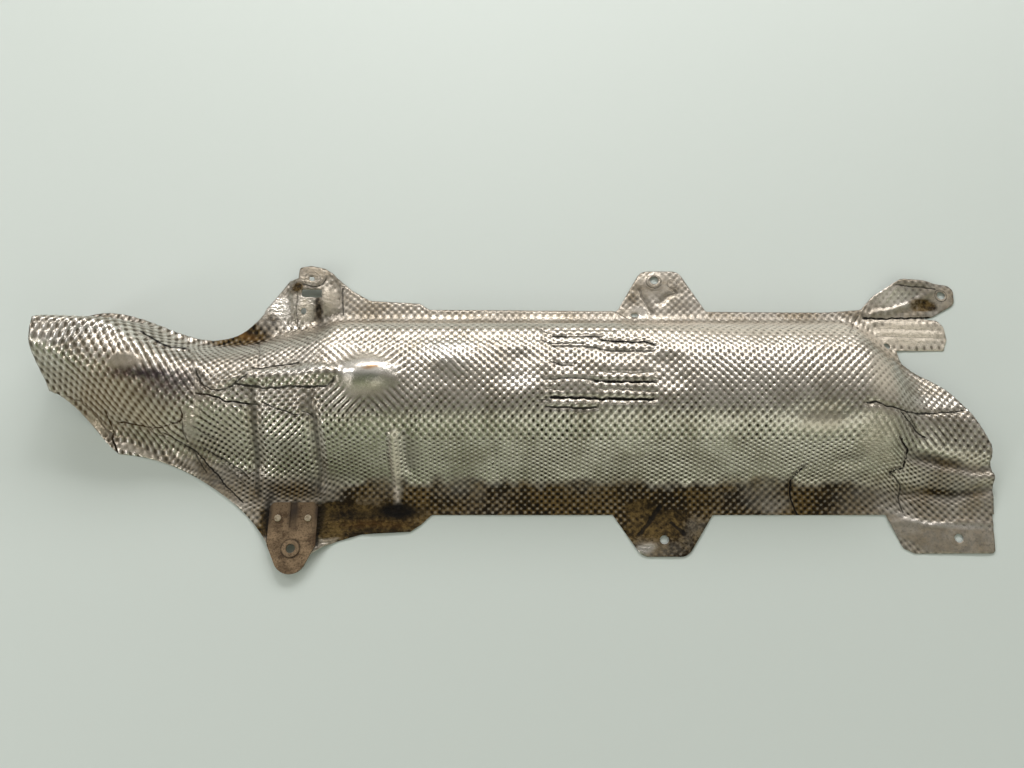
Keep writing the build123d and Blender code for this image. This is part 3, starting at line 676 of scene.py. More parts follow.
# Where the brown dirt is worn off
CLEAN_PATCHES = patches({
    0.9: [
        ("lower_tab", (664, 547), (36, 13), 0.15),
        ("wall_rib", (398, 494), (5, 16), 0.8),
        ("foot_edge", (945, 524), (60, 3), 0.8),
        ("flange_glints", (775, 505), (22, 10), 0.55),
        ("flange_tip", (322, 545), (14, 5), 0.6, -20),
        ("flange_left_tip", (253, 520), (8, 10), 0.6),
    ],
    0.7: [
        ("lower_tab_facet", (645, 550), (14, 6), 0.75, -20),
        ("upper_prong", (886, 299), (22, 14), 0.9),
    ],
    0.6: [
        ("lug_plate", (304, 308), (10, 18), 1.0),
        ("lower_prong", (905, 335), (56, 20), 0.7),
    ],
    0.8: [
        ("lug_left", (284, 304), (16, 15), 0.85),
        ("lug_side", (330, 297), (10, 20), 0.6),
        ("slot_field", (634, 311), (20, 8), 0.6),
    ],
})

# Rust stains
RUST_PATCHES = patches({
    0.6: [
        ("boss_stain", (371, 368), (9, 2), 0.8, -12),
    ],
    0.9: [
        ("flange_rust", (245, 336), (18, 5), 0.22, 20),
        ("scoop_warmth", (105, 398), (95, 58), 0.13),
        ("neck_rust", (375, 524), (40, 5), 0.1),
    ],
})

# Smoother metal whose colour is lightened as a painted highlight on the boss crest, bumps, ridges, bends and
# flat faces, and as a painted reflection on the lower tab's facet
POLISH_AND_HIGHLIGHT_PATCHES = patches({
    0.6: [
        ("boss", (367, 367), (30, 10), 1.0),
        ("lug_plate", (305, 306), (10, 17), 1.0),
        ("tab_facet", (645, 548), (14, 5), 0.5, -20),
    ],
    0.9: [
        ("crown_bump", (446, 350), (26, 16), 0.6),
        ("middle_bump", (520, 381), (22, 12), 0.5),
        ("crown_right", (745, 365), (85, 44), 0.22),
        ("foot_edge", (945, 525), (58, 3), 0.6),
        ("scoop_top", (85, 326), (60, 9), 0.5),
        ("prong_ridge", (905, 304), (34, 5), 1.0, 20),
    ],
    0.8: [
        ("lug_slope", (276, 311), (22, 20), 0.9),
        ("flare_top", (935, 402), (44, 9), 0.35),
        ("prong_low_end", (930, 342), (18, 6), 0.5),
        ("prong_top", (896, 297), (26, 12), 0.8),
    ],
    0.7: [
        ("slot_field", (638, 312), (12, 8), 0.8),
        ("bead_top", (292, 370), (42, 6), 0.5),
    ],
})

# Pale oxide, and painted light on the boss, the barrel's shoulder and end, the rib, the neck fold, the lug
# plate and the scoop
CHALK_AND_LIGHT_PATCHES = patches({
    0.9: [
        ("boss_halo", (366, 356), (28, 9), 0.5),
        ("boss_foot", (366, 390), (24, 8), 0.35),
        ("boss_top", (368, 366), (25, 7), 0.6),
        ("scoop_film", (110, 396), (95, 60), 0.4),
        ("scoop_low", (150, 420), (45, 22), 0.55, 10),
        ("neck_left", (225, 430), (32, 36), 0.3),
        ("shoulder", (884, 374), (20, 32), 0.75),
        ("barrel_end", (882, 432), (22, 34), 0.4),
        ("end_dip", (826, 424), (26, 12), 0.4),
        ("wall_rib", (396, 468), (5, 48), 0.85),
        ("neck_fold", (196, 395), (4, 30), 0.7),
        ("scoop_hem", (150, 457), (46, 5), 0.5, 14),
    ],
    0.8: [
        ("upper_flange", (560, 314), (130, 6), 0.35),
        ("prong_top", (888, 298), (24, 16), 0.5),
        ("lug_side", (329, 298), (12, 18), 0.85),
        ("lug_left", (276, 312), (22, 22), 0.35),
        ("slot_field", (630, 312), (22, 8), 0.6),
        ("lip_strip", (92, 424), (34, 6), 0.6, 48),
    ],
    0.6: [
        ("lower_prong", (905, 334), (54, 22), 0.95),
        ("lug_plate", (305, 308), (10, 18), 0.9),
    ],
    0.7: [
        ("prong_tip", (940, 296), (14, 12), 0.6),
    ],
})

# Crumpled sheet
CRUMPLE_PATCHES = patches({
    0.8: [
        ("neck", (245, 395), (75, 62), 1.0),
        ("scoop_low", (150, 425), (70, 34), 0.8),
        ("scoop_back", (160, 345), (50, 30), 0.7),
        ("barrel_end", (880, 430), (45, 50), 0.7),
        ("flare", (950, 450), (55, 60), 0.5),
    ],
    0.6: [
        ("neck_flange", (345, 518), (95, 24), 1.6),
    ],
    0.7: [
        ("lug", (282, 308), (52, 42), 1.5),
        ("lower_prong", (905, 336), (50, 16), 0.5),
        ("upper_prong", (900, 300), (34, 18), 0.4),
        ("pleats", (600, 368), (75, 50), 0.5),
        ("tabs", (655, 530), (45, 28), 0.5),
    ],
})

# Black dirt, and painted shadow beside the tongue
SOOT_AND_SHADOW_PATCHES = patches({
    0.5: [
        ("dark_dirt", (398, 511), (27, 9), 1.0),
    ],
    0.8: [
        ("dark_dirt_left", (356, 515), (36, 5), 0.6),
        # Painted shadow along both sides of the tongue
        ("tongue_left", (268, 510), (6, 24), 0.8),
        ("tongue_right", (320, 516), (6, 22), 0.8),
        ("tongue_top", (295, 504), (5, 7), 0.8),
    ],
})

PAINTED = {
    "scorch_and_shade": SCORCH_AND_SHADE_PATCHES,
    "soot_and_shadow": SOOT_AND_SHADOW_PATCHES,
    "rust": RUST_PATCHES,
    "polish_and_highlight": POLISH_AND_HIGHLIGHT_PATCHES,
}


@dataclass
class MeshParts:
    """The points, faces and painted fields of a mesh while it is put together."""

    points: np.ndarray
    faces: list[tuple[int, ...]]
    fields: dict[str, np.ndarray]
    flat_faces: int = 0

    def build(self, name: str) -> bpy.types.Object:
        """Make the mesh object and link it to the scene.

        Args:
            name: The piece's name.

        Returns:
            The linked object. The last flat_faces faces are shaded flat, the others smooth.
        """
        mesh = bpy.data.meshes.new(name)
        mesh.from_pydata((self.points * MM).tolist(), [], self.faces)
        mesh.update()
        for field, values in self.fields.items():
            vector = values.ndim == 2
            layer = mesh.attributes.new(field, "FLOAT_VECTOR" if vector else "FLOAT", "POINT")
            layer.data.foreach_set("vector" if vector else "value", values.astype(np.float32).ravel())
        smooth = np.ones(len(self.faces), bool)
        smooth[len(self.faces) - self.flat_faces :] = False
        mesh.polygons.foreach_set("use_smooth", smooth)
        piece = bpy.data.objects.new(name, mesh)
        bpy.context.scene.collection.objects.link(piece)
        return piece


class InkLayers:
    """Dark lines painted as distances, so that they stay finer than the mesh: cracks, and painted shade
    along folds, beads, valleys and edges.
    """

    COUNT = 3
    FAR = 9.0
    FADE_START = 1.2
    FADE_END = 2.8
    PAST_END = (0.2, 2.2)

    def __init__(self, points: int) -> None:
        """Start with no line near any point.

        Args:
            points: How many points there are.
        """
        self.near = np.full((self.COUNT, points), np.inf)
        self.values = np.zeros((self.COUNT, points, 3))
        self.values[:, :, 0] = self.FAR

    def add(self, where: np.ndarray, signed: np.ndarray, past: np.ndarray, ink: float, width: float) -> None:
        """Paint a line into the layer where the fewest other lines are close.

        Args:
            where: The points near the line.
            signed: Their distances from it, with the side as the sign.
            past: How far each lies past the line's ends.
            ink: How dark the line is.
            width: Half its width.
        """
        reach = width + self.FADE_END
        close = np.abs(signed) < reach
        where, signed, past = where[close], signed[close], past[close]
        clashes = [int((self.near[k, where] < self.FAR).sum()) for k in range(self.COUNT)]
        layer = int(np.argmin(clashes))
        wins = np.abs(signed) < self.near[layer, where]
        where, signed, past = where[wins], signed[wins], past[wins]
        fade = 1 - smooth_steps(width + self.FADE_START, reach, np.abs(signed))
        fade *= 1 - smooth_steps(*self.PAST_END, past)
        self.near[layer, where] = np.abs(signed)
        self.values[layer, where] = np.stack([signed, ink * fade, np.full(len(where), width)], axis=1)

    def fields(self) -> dict[str, np.ndarray]:
        """Give the layers as painted fields."""
        return {f"ink_{k}": self.values[k] for k in range(self.COUNT)}


class SheetRelief:
    """The embossing, folds, dents, dirt and painted light and shade at the points of the mesh.

    A blot is a kind of noise: its strength, the size of its blobs and, where it has more than one, the
    number of its octaves.
    """

    SEED = 11
    BOSS: Pixel = (366, 375)
    BARREL_START_X = (-190.0, -160.0)

    # Each band of embossing across the sheet: where it starts and how tightly its rows are pressed
    BARREL_BANDS = ((-260.0, 1.08), (-110.0, 1.7), (-63.0, 0.83), (-30.0, 1.0), (45.0, 0.6), (112.0, 1.0))
    NECK_BANDS = ((-260.0, 1.0), (-132.0, 1.6), (-92.0, 1.12), (-45.0, 1.0), (45.0, 0.7), (112.0, 1.0))
    BANDS_END = 260.0
    SCOOP_ROWS_X = (-345.0, -265.0)
    SCOOP_AXIS_X = -300.0
    SCOOP_LEAN = 0.12
    SCOOP_WIDER = 0.42

    # Depth of the embossing, how its rows drift and how far it is crushed
    DEPTH = 1.1
    DRIFT_ALONG = ((0.8, 60.0), (0.35, 15.0))
    DRIFT_ACROSS = ((0.8, 55.0), (0.35, 13.0))
    CRUSH = 0.88
    CRUSH_BLOTS = ((0.2, 38.0, 3), (0.24, 5.0))
    CRUSH_LIMITS = (0.35, 1.6)
    NECK_DEEPER = 0.25
    NECK_END_X = (-230.0, -170.0)
    SCOOP_DEEPER = 0.4
    SCOOP_END_X = (-320.0, -270.0)
    FLANGE_FLATTER = 0.4
    FLANGE_Y = (92.0, 102.0)

    # Streaks, which also point away from the boss
    STREAK_DEEPER = 0.3
    STREAK_SHARE = 0.75
    STREAK_BLOT = (0.6, 22.0, 3)
    STREAK_LIMIT = 0.95
    BOSS_STREAK = 1.1
    BOSS_REACH = (22.0, 52.0)

    # Buckled and crumpled sheet
    BUCKLE = (0.35, 48.0, 3)
    RIPPLE = (0.16, 15.0)
    SINK = 0.4
    WRINKLE = (0.7, 17.0, 3)
    FINE_WRINKLE = (0.25, 7.0)
    CREASE_HEIGHT = 0.6
    CREASE_SIZE = 5.0
    CREASE_STRETCH = (0.5, 1.2)

    # Soft ovals, lines and rings
    OVAL_BLOT = (0.12, 9.0, 3)
    OVAL_OVERRUN = 0.3
    FRAY = (0.9, 6.0)
    FINE_FRAY = (0.5, 3.1)
    FRAY_SHARE = 0.6
    FLANK = (0.2, 1.7)
    LINE_MARGIN = 6.0
    RING_REACH = 6.0
    RING_CREST = 1.2
    RING_HALF = 2.0

    # Darker pits, partly dirt and partly painted shade, and a band of painted light on the barrel's upper
    # wall
    PIT_DARKNESS = 0.75
    PIT_DARKNESS_FAR_LESS = 0.6
    PIT_DARKNESS_FAR_Y = (-40.0, 15.0)
    PIT_DARKNESS_ON_SCOOP = 0.45
    PIT_DARKNESS_SCOOP_X = (-330.0, -280.0)
    PIT_DARKNESS_BLOT = (0.3, 30.0, 3)
    WALL_START_Y = (45.0, 65.0)
    WALL_END_Y = (92.0, 100.0)
    WALL_PAINTED_LIGHT = 0.15
    WALL_MORE = 0.5
    WALL_MORE_X = (90.0, 190.0)

    # Brown dirt, thick on the lower flange, where it is partly painted shade, and thin on the upper one
    GRIME_AND_SHADE_CLOUD = (1.0, 40.0, 3)
    GRIME_AND_SHADE_UNEVEN = 0.25
    GRIME_AND_SHADE_LIMIT = 1.4
    LOWER_GRIME_AND_SHADE = 1.1
    LOWER_EDGE_Y = (-76.0, -65.0)
    LOWER_WANDER = 5.0
    LOWER_FRAY = (3.0, 8.0)
    LOWER_START_X = (-200.0, -150.0)
    LOWER_END_X = (290.0, 350.0)
    LOWER_END_LESS = 0.55
    UPPER_GRIME = 0.3
    UPPER_MORE = 0.15
    UPPER_MORE_X = (150.0, 250.0)
    UPPER_EDGE_Y = (95.0, 104.0)
    UPPER_WANDER = 3.0

    def __init__(self, surface: SheetSurface, camera: PhotoCamera, x: np.ndarray, y: np.ndarray) -> None:
        """Take the points.

        Args:
            surface: The outer face that they lie on.
            camera: The photograph's camera, through which lines and patches find their places.
            x: Their places along the sheet.
            y: Their places across the sheet, seen from above.
        """
        self.surface, self.camera = surface, camera
        self.x, self.y, self.v = x, y, surface.sample(surface.across, x, y)
        self.noise = Noise(self.SEED)
        self.plain = self._strongest(SMOOTH_PATCHES)
        self.ink = InkLayers(len(x))

    def work_out(self) -> tuple[np.ndarray, dict[str, np.ndarray]]:
        """Work out the relief.

        Returns:
            The relief out of the outer face, and the fields that the finish reads.
        """
        lift = self._lines() + self._rings() + sum(self._oval(swell) for swell in SWELLS)
        streak, amount = self._streak(), self._crushed()
        wave_x = self.x + sum(self._blot(*blot) for blot in self.DRIFT_ALONG)
        wave_v = self._rows() + sum(self._blot(*blot, turned=True) for blot in self.DRIFT_ACROSS)
        pits = 0.5 - 0.5 * self._wave(wave_x, wave_v, streak)
        lift -= self.DEPTH * pits * amount * (1 + self.STREAK_DEEPER * np.abs(streak))
        lift += self._blot(*self.BUCKLE) + self._blot(*self.RIPPLE, turned=True) - self.SINK
        crumple = self._strongest(CRUMPLE_PATCHES)
        along, across = self.CREASE_STRETCH
        crease = self.CREASE_HEIGHT * self.noise.at(along * self.x, across * self.v, self.CREASE_SIZE)
        wrinkle = self._blot(*self.WRINKLE, turned=True) + self._blot(*self.FINE_WRINKLE)
        lift += crumple * (wrinkle + self.plain * crease)
        fields = {name: self._strongest(table) for name, table in PAINTED.items()}
        fields |= {
            "sheet": np.stack([wave_x, wave_v, streak], axis=1),
            "amount": amount,
            "crease": crumple * self.plain,
            "chalk_and_painted_light": np.maximum(self._strongest(CHALK_AND_LIGHT_PATCHES), self._upper_wall_light()),
            "grime_and_shade": self._grime_and_shade(),
            "pit_darkness": self._pit_darkness(),
        }
        return lift, fields | self.ink.fields()

    def _blot(self, strength: float, size: float, octaves: int = 1, turned: bool = False) -> np.ndarray:
        """Give a blot's noise, with the two directions swapped where it is turned."""
        first, second = (self.v, self.x) if turned else (self.x, self.v)
        return strength * self.noise.rough(first, second, size, octaves)

    def _seen(self, pixel: Pixel) -> tuple[float, float]:
        """Find the place on the sheet at a pixel."""
        return self.surface.seen(self.camera, pixel)

    def _strongest(self, table: tuple[Patch, ...]) -> np.ndarray:
        """Give the strongest of several patches at each point."""
        return np.max([self._oval(patch) for patch in table], axis=0)

    def _oval(self, patch: Patch) -> np.ndarray:
        """Lay a soft oval over the points.

        Args:
            patch: The oval.

        Returns:
            How strongly it covers each point.
        """
        centre_x, centre_v = self._seen(patch.centre)
        x, v = self.x - centre_x, self.v - centre_v
        cos, sin = math.cos(math.radians(patch.turn_deg)), math.sin(math.radians(patch.turn_deg))
        far = np.hypot((x * cos - v * sin) / patch.reach[0], (x * sin + v * cos) / patch.reach[1])
        far += self._blot(*self.OVAL_BLOT)
        return patch.strength * (1 - smooth_steps(1 - patch.edge, 1 + self.OVAL_OVERRUN * patch.edge, far))

    @staticmethod
    def _wave(x: np.ndarray, v: np.ndarray, streak: np.ndarray) -> np.ndarray:
        """Press the embossing.

        Args:
            x: The embossing's own places along the sheet.
            v: Its own places across the sheet.
            streak: How far the bumps are drawn out along a diagonal.

        Returns:
            The embossing, from -1 in the pits to 1 on the bumps.
        """
        turn = 2 * np.pi / EMBOSS_PITCH
        falling, rising = np.cos(turn * (x + v)), np.cos(turn * (x - v))
        return 0.5 * (1 + streak) * falling + 0.5 * (1 - streak) * rising

    def _rows(self) -> np.ndarray:
        """Lay out the rows of the embossing.

        Returns:
            The embossing's own places across, tighter on steep walls and wider on the scoop.
        """
        barrel = smooth_steps(*self.BARREL_START_X, self.x)
        scoop = 1 - smooth_steps(*self.SCOOP_ROWS_X, self.x)
        rows = barrel * self._banded(self.BARREL_BANDS) + (1 - barrel) * self._banded(self.NECK_BANDS)
        return rows + scoop * (self.SCOOP_LEAN * (self.x - self.SCOOP_AXIS_X) - self.SCOOP_WIDER * rows)

    def _banded(self, bands: tuple[tuple[float, float], ...]) -> np.ndarray:
        """Add up the bands from the sheet's axis.

        Args:
            bands: Where each band starts and how tightly its rows are pressed.

        Returns:
            The embossing's own places across.
        """
        starts, tightness = np.array(bands).T
        edges = np.append(starts, self.BANDS_END)
        rows = np.concatenate([[0.0], np.cumsum(tightness * np.diff(edges))])
        return np.interp(self.v, edges, rows) - np.interp(0.0, edges, rows)

    def _crushed(self) -> np.ndarray:
        """Crush the embossing unevenly.

        Returns:
            How deep it still is, more on the neck and the scoop and less on the far flange.
        """
        crush = self.CRUSH + sum(self._blot(*blot) for blot in self.CRUSH_BLOTS)
        crush *= 1 + self.NECK_DEEPER * (1 - smooth_steps(*self.NECK_END_X, self.x))
        crush *= 1 + self.SCOOP_DEEPER * (1 - smooth_steps(*self.SCOOP_END_X, self.x))
        crush *= 1 - self.FLANGE_FLATTER * smooth_steps(*self.FLANGE_Y, self.y)
        return np.clip(crush, *self.CRUSH_LIMITS) * (1 - self.plain)

    def _streak(self) -> np.ndarray:
        """Draw the bumps out into diagonal streaks.

        Returns:
            How far they are drawn out, with the direction as the sign.
        """
        streak = sum(self._oval(patch) for patch in STREAK_PATCHES)
        boss_x, boss_v = self._seen(self.BOSS)
        angle = np.arctan2(self.v - boss_v, self.x - boss_x)
        round_boss = 1 - smooth_steps(*self.BOSS_REACH, np.hypot(self.x - boss_x, self.v - boss_v))
        streak = streak * (self.STREAK_SHARE + self._blot(*self.STREAK_BLOT)) * (1 - round_boss)
        streak -= self.BOSS_STREAK * np.sin(2 * angle) * round_boss
        return np.clip(streak, -self.STREAK_LIMIT, self.STREAK_LIMIT)

    def _lines(self) -> np.ndarray:
        """Press the lines into the sheet, flatten its embossing there and paint their dark lines, cracks or
        painted shade.

        Returns:
            The relief of the lines.
        """
        lift = np.zeros_like(self.x)
        fray = self._blot(*self.FRAY) + self._blot(*self.FINE_FRAY, turned=True)
        places = np.stack([self.x, self.v], axis=1)
        for line in CRACKS + PLEAT_LINES + FORM_LINES:
            path = np.array([self._seen(pixel) for pixel in line.pixels])
            margin = 2 * line.half_width + line.ink_width + self.LINE_MARGIN
            close = (places > path.min(axis=0) - margin) & (places < path.max(axis=0) + margin)
            where = np.nonzero(close.all(axis=1))[0]
            signed, past = self._distance(path, places[where])
            signed += fray[where] * line.ragged * min(1.0, self.FRAY_SHARE * line.half_width)
            start, end = (share * line.half_width for share in self.FLANK)
            near = 1 - smooth_steps(start, end, np.hypot(signed, past))
            lift[where] += line.mark.value * line.depth * near
            self.plain[where] = np.maximum(self.plain[where], line.flatten * near)
            if line.ink > 0:
                self.ink.add(where, signed, past, line.ink, line.ink_width)
        return lift

    @staticmethod
    def _distance(path: np.ndarray, place: np.ndarray) -> tuple[np.ndarray, np.ndarray]:
        """Measure places from a path.

        Args:
            path: The path's corners.
            place: The places to measure.

        Returns:
            The distance across the path, with its side as the sign, and the distance past its ends.
        """
        best = np.full(len(place), np.inf)
        signed, past = np.zeros(len(place)), np.zeros(len(place))
        last = len(path) - 2
        for k, (start, end) in enumerate(zip(path, path[1:])):
            length = np.linalg.norm(end - start)
            run = (end - start) / length
            offset = place - start
            along = offset @ run
            far = np.linalg.norm(offset - np.clip(along, 0, length)[:, None] * run, axis=1)
            side = np.sign(run[0] * offset[:, 1] - run[1] * offset[:, 0])
            over = np.maximum(-along, 0) * (k == 0) + np.maximum(along - length, 0) * (k == last)
            across = np.sqrt(np.maximum(far**2 - over**2, 0))
            wins = far < best
            best = np.where(wins, far, best)
            signed = np.where(wins, side * across, signed)
            past = np.where(wins, over, past)
        return signed, past

    def _rings(self) -> np.ndarray:
        """Press the rings around the holes and paint their dark hairlines.

        Returns:
            The relief of the rings.
        """
        lift = np.zeros_like(self.x)
        for ring in RINGS:
            centre_x, centre_v = self._seen(ring.centre)
            signed = np.hypot(self.x - centre_x, self.v - centre_v) - ring.radius
            where = np.nonzero(np.abs(signed) < self.RING_REACH)[0]
            signed = signed[where]
            off_crest = np.abs(signed + self.RING_CREST)
            lift[where] += ring.height * (1 - smooth_steps(0.0, self.RING_HALF, off_crest))
            self.ink.add(where, signed, np.zeros(len(where)), ring.ink, ring.ink_width)
        return lift

    def _pit_darkness(self) -> np.ndarray:
        """Darken the pits, partly as dirt and partly as painted shade.

        Returns:
            How dark they are, most on the near side and less on the scoop.
        """
        near = self.PIT_DARKNESS - self.PIT_DARKNESS_FAR_LESS * smooth_steps(*self.PIT_DARKNESS_FAR_Y, self.y)
        scoop = self.PIT_DARKNESS_ON_SCOOP + (1 - self.PIT_DARKNESS_ON_SCOOP) * smooth_steps(*self.PIT_DARKNESS_SCOOP_X, self.x)
        return near * scoop * (1 + self._blot(*self.PIT_DARKNESS_BLOT))

    def _upper_wall_light(self) -> np.ndarray:
        """Lay a pale band of painted light along the barrel's upper wall.

        Returns:
            How pale each point is.
        """
        band = smooth_steps(*self.WALL_START_Y, self.y) * (1 - smooth_steps(*self.WALL_END_Y, self.y))
        band *= smooth_steps(*self.BARREL_START_X, self.x)
        return band * (self.WALL_PAINTED_LIGHT + self.WALL_MORE * smooth_steps(*self.WALL_MORE_X, self.x))

    def _grime_and_shade(self) -> np.ndarray:
        """Lay brown dirt in bands on the flanges and in patches, with painted shade in the lower band and in
        some patches.

        Returns:
            How thick the dirt is.
        """
        cloud = self._blot(*self.GRIME_AND_SHADE_CLOUD)
        edge = self.y + self.LOWER_WANDER * cloud + self._blot(*self.LOWER_FRAY)
        lower = self.LOWER_GRIME_AND_SHADE * (1 - smooth_steps(*self.LOWER_EDGE_Y, edge))
        lower *= smooth_steps(*self.LOWER_START_X, self.x)
        lower *= 1 - self.LOWER_END_LESS * smooth_steps(*self.LOWER_END_X, self.x)
        upper = self.UPPER_GRIME + self.UPPER_MORE * smooth_steps(*self.UPPER_MORE_X, self.x)
        upper *= smooth_steps(*self.UPPER_EDGE_Y, self.y + self.UPPER_WANDER * cloud)
        dirt = np.maximum(np.maximum(lower, upper), self._strongest(GRIME_AND_SHADE_PATCHES))
        dirt *= (1 + self.GRIME_AND_SHADE_UNEVEN * cloud) * (1 - self._strongest(CLEAN_PATCHES))
        return np.clip(dirt, 0, self.GRIME_AND_SHADE_LIMIT)


@dataclass
class ShieldShell:
    """The mesh of the embossed sheet."""

    surface: SheetSurface
    camera: PhotoCamera
    step: float = 2.0
    half_span: float = 260.0
    edge_margin: float = 6.0
    edge_halvings: int = 9
    gauge: float = 0.5
    clearance: float = 0.12
    floor_gap: float = 0.05
    name: str = "embossed_sheet"

    def build(self) -> bpy.types.Object:
        """Make the embossed sheet.

        Returns:
            The finished mesh object, one closed sheet with two faces and a rim.
        """
        self._lay_grid()
        self._snap_to_outline()
        cells = self._cells()
        x, y = self.x[self.used], self.y[self.used]
        lift, fields = SheetRelief(self.surface, self.camera, x, y).work_out()
        points, normals = self._placed(x, y, lift)
        count = len(points)
        rim = self._rim(cells, count)
        faces = [tuple(cell) for cell in cells] + self._inner_faces(cells, count) + rim
        points[:, 2] = np.maximum(points[:, 2], self.gauge + self.clearance)
        both = np.vstack([points, points - normals * self.gauge])
        both = np.clip(both, self.surface.low + (0, 0, self.floor_gap), self.surface.high)
        keep = np.zeros(len(both), bool)
        keep[[k for face in faces for k in face]] = True
        number = np.cumsum(keep) - 1
        faces = [tuple(int(number[k]) for k in face) for face in faces]
        fields = {name: np.concatenate([field, field])[keep] for name, field in fields.items()}
        return MeshParts(both[keep], faces, fields, len(rim)).build(self.name)

    def _lay_grid(self) -> None:
        """Lay a grid whose rows follow the length across the sheet, so the embossing isn't stretched."""
        s = self.surface
        first = math.floor(s.low[0] / self.step) * self.step
        columns = np.arange(first - self.step, s.high[0] + 2 * self.step, self.step)
        rows = np.arange(-self.half_span, self.half_span, self.step)
        self.x = np.repeat(columns[:, None], len(rows), axis=1)
        self.y = np.empty_like(self.x)
        for i, column in enumerate(columns):
            lengths = s.sample(s.across, np.full(len(s.ys), column), s.ys)
            beyond = np.minimum(rows - lengths[0], 0) + np.maximum(rows - lengths[-1], 0)
            self.y[i] = np.interp(rows, lengths, s.ys) + beyond

    def _snap_to_outline(self) -> None:
        """Move the grid's points beside the outline on to it."""
        s = self.surface
        near = (self.y > s.low[1] - self.edge_margin) & (self.y < s.high[1] + self.edge_margin)
        inside = np.zeros(self.x.shape, bool)
        for i, j in zip(*np.nonzero(near)):
            inside[i, j] = s.inside(self.x[i, j], self.y[i, j])
        best = np.full(self.x.shape, np.inf)
        move_x, move_y = self.x.copy(), self.y.copy()
        for along, over in ((1, 0), (0, 1)):
            last_i, last_j = self.x.shape[0] - along, self.x.shape[1] - over
            crossing = inside[:last_i, :last_j] != inside[along:, over:]
            for i, j in zip(*np.nonzero(crossing)):
                here, there = (i, j), (i + along, j + over)
                if not inside[here]:
                    here, there = there, here
                share = self._edge_share(here, there)
                goes = there if share >= 0.5 else here
                travel = min(share, 1 - share)
                if travel < best[goes]:
                    best[goes] = travel
                    move_x[goes], move_y[goes] = self._between(here, there, share)
        self.good = inside | np.isfinite(best)
        self.x, self.y = move_x, move_y

    def _between(self, here: tuple[int, int], there: tuple[int, int], share: float) -> tuple[float, float]:
        """Find a place between two grid points.

        Args:
            here: The first grid point.
            there: The second grid point.
            share: The share of the way.

        Returns:
            The place along the sheet, and the place across it seen from above.
        """
        x = self.x[here] + share * (self.x[there] - self.x[here])
        y = self.y[here] + share * (self.y[there] - self.y[here])
        return x, y

    def _edge_share(self, here: tuple[int, int], there: tuple[int, int]) -> float:
        """Find where the outline lies between two grid points.

        Args:
            here: The grid point on the sheet.
            there: The grid point off it.

        Returns:
            The share of the way from the first to the second.
        """
        low, high = 0.0, 1.0
        for _ in range(self.edge_halvings):
            middle = 0.5 * (low + high)
            inside = self.surface.inside(*self._between(here, there, middle))
            low, high = (middle, high) if inside else (low, middle)
        return low

    def _cells(self) -> list[list[int]]:
        """Lay the cells of the outer face.

        Returns:
            The corners of each cell, four inside and three where the outline cuts one off.
        """
        good = self.good
        corners = np.stack([good[:-1, :-1], good[1:, :-1], good[1:, 1:], good[:-1, 1:]], axis=-1)
        shift = ((0, 0), (1, 0), (1, 1), (0, 1))
        self.whole = corners.all(axis=-1)
        self.used = np.zeros(good.shape, bool)
        self.cell_places = []
        loops = []
        for i, j in zip(*np.nonzero(corners.sum(axis=-1) >= 3)):
            loop = [(i + a, j + b) for (a, b), c in zip(shift, corners[i, j]) if c]
            x = sum(self.x[k] for k in loop) / len(loop)
            y = sum(self.y[k] for k in loop) / len(loop)
            if not self.surface.inside(x, y):
                self.whole[i, j] = False
                continue
            for k in loop:
                self.used[k] = True
            loops.append(loop)
            self.cell_places.append((i, j))
        self.number = np.cumsum(self.used).reshape(self.used.shape) - 1
        return [[int(self.number[k]) for k in loop] for loop in loops]

    def _inner_faces(self, cells: list[list[int]], count: int) -> list[tuple[int, ...]]:
        """Lay the cells of the inner face.

        Args:
            cells: The outer face's cells.
            count: How many points the outer face has.

        Returns:
            The inner face's cells, twice as large wherever four whole ones meet.
        """
        wide, high = self.whole.shape[0] // 2, self.whole.shape[1] // 2
        w = self.whole[: 2 * wide, : 2 * high]
        large = w[0::2, 0::2] & w[1::2, 0::2] & w[0::2, 1::2] & w[1::2, 1::2]
        padded = np.pad(large, 1)
        faces = []
        for a, b in zip(*np.nonzero(large)):
            i, j = 2 * a, 2 * b
            sides = (
                ((i, j), (i + 1, j), padded[a + 1, b]),
                ((i + 2, j), (i + 2, j + 1), padded[a + 2, b + 1]),
                ((i + 2, j + 2), (i + 1, j + 2), padded[a + 1, b + 2]),
                ((i, j + 2), (i, j + 1), padded[a, b + 1]),
            )
            loop = []
            for corner, middle, plain in sides:
                loop.append(int(self.number[corner]) + count)
                if not plain:
                    loop.append(int(self.number[middle]) + count)
            faces.append(tuple(reversed(loop)))
        for cell, (i, j) in zip(cells, self.cell_places):
            a, b = i // 2, j // 2
            if not (a < wide and b < high and large[a, b]):
                faces.append(tuple(k + count for k in reversed(cell)))
        return faces

    def _rim(self, cells: list[list[int]], count: int) -> list[tuple[int, ...]]:
        """Join the two faces around the outline and the holes.

        Args:
            cells: The outer face's cells.
            count: How many points the outer face has.

        Returns:
            The faces of the rim.
        """
        edges = {}
        for cell in cells:
            for a, b in zip(cell, cell[1:] + cell[:1]):
                if (b, a) in edges:
                    del edges[(b, a)]
                else:
                    edges[(a, b)] = True
        return [(b, a, a + count, b + count) for a, b in edges]

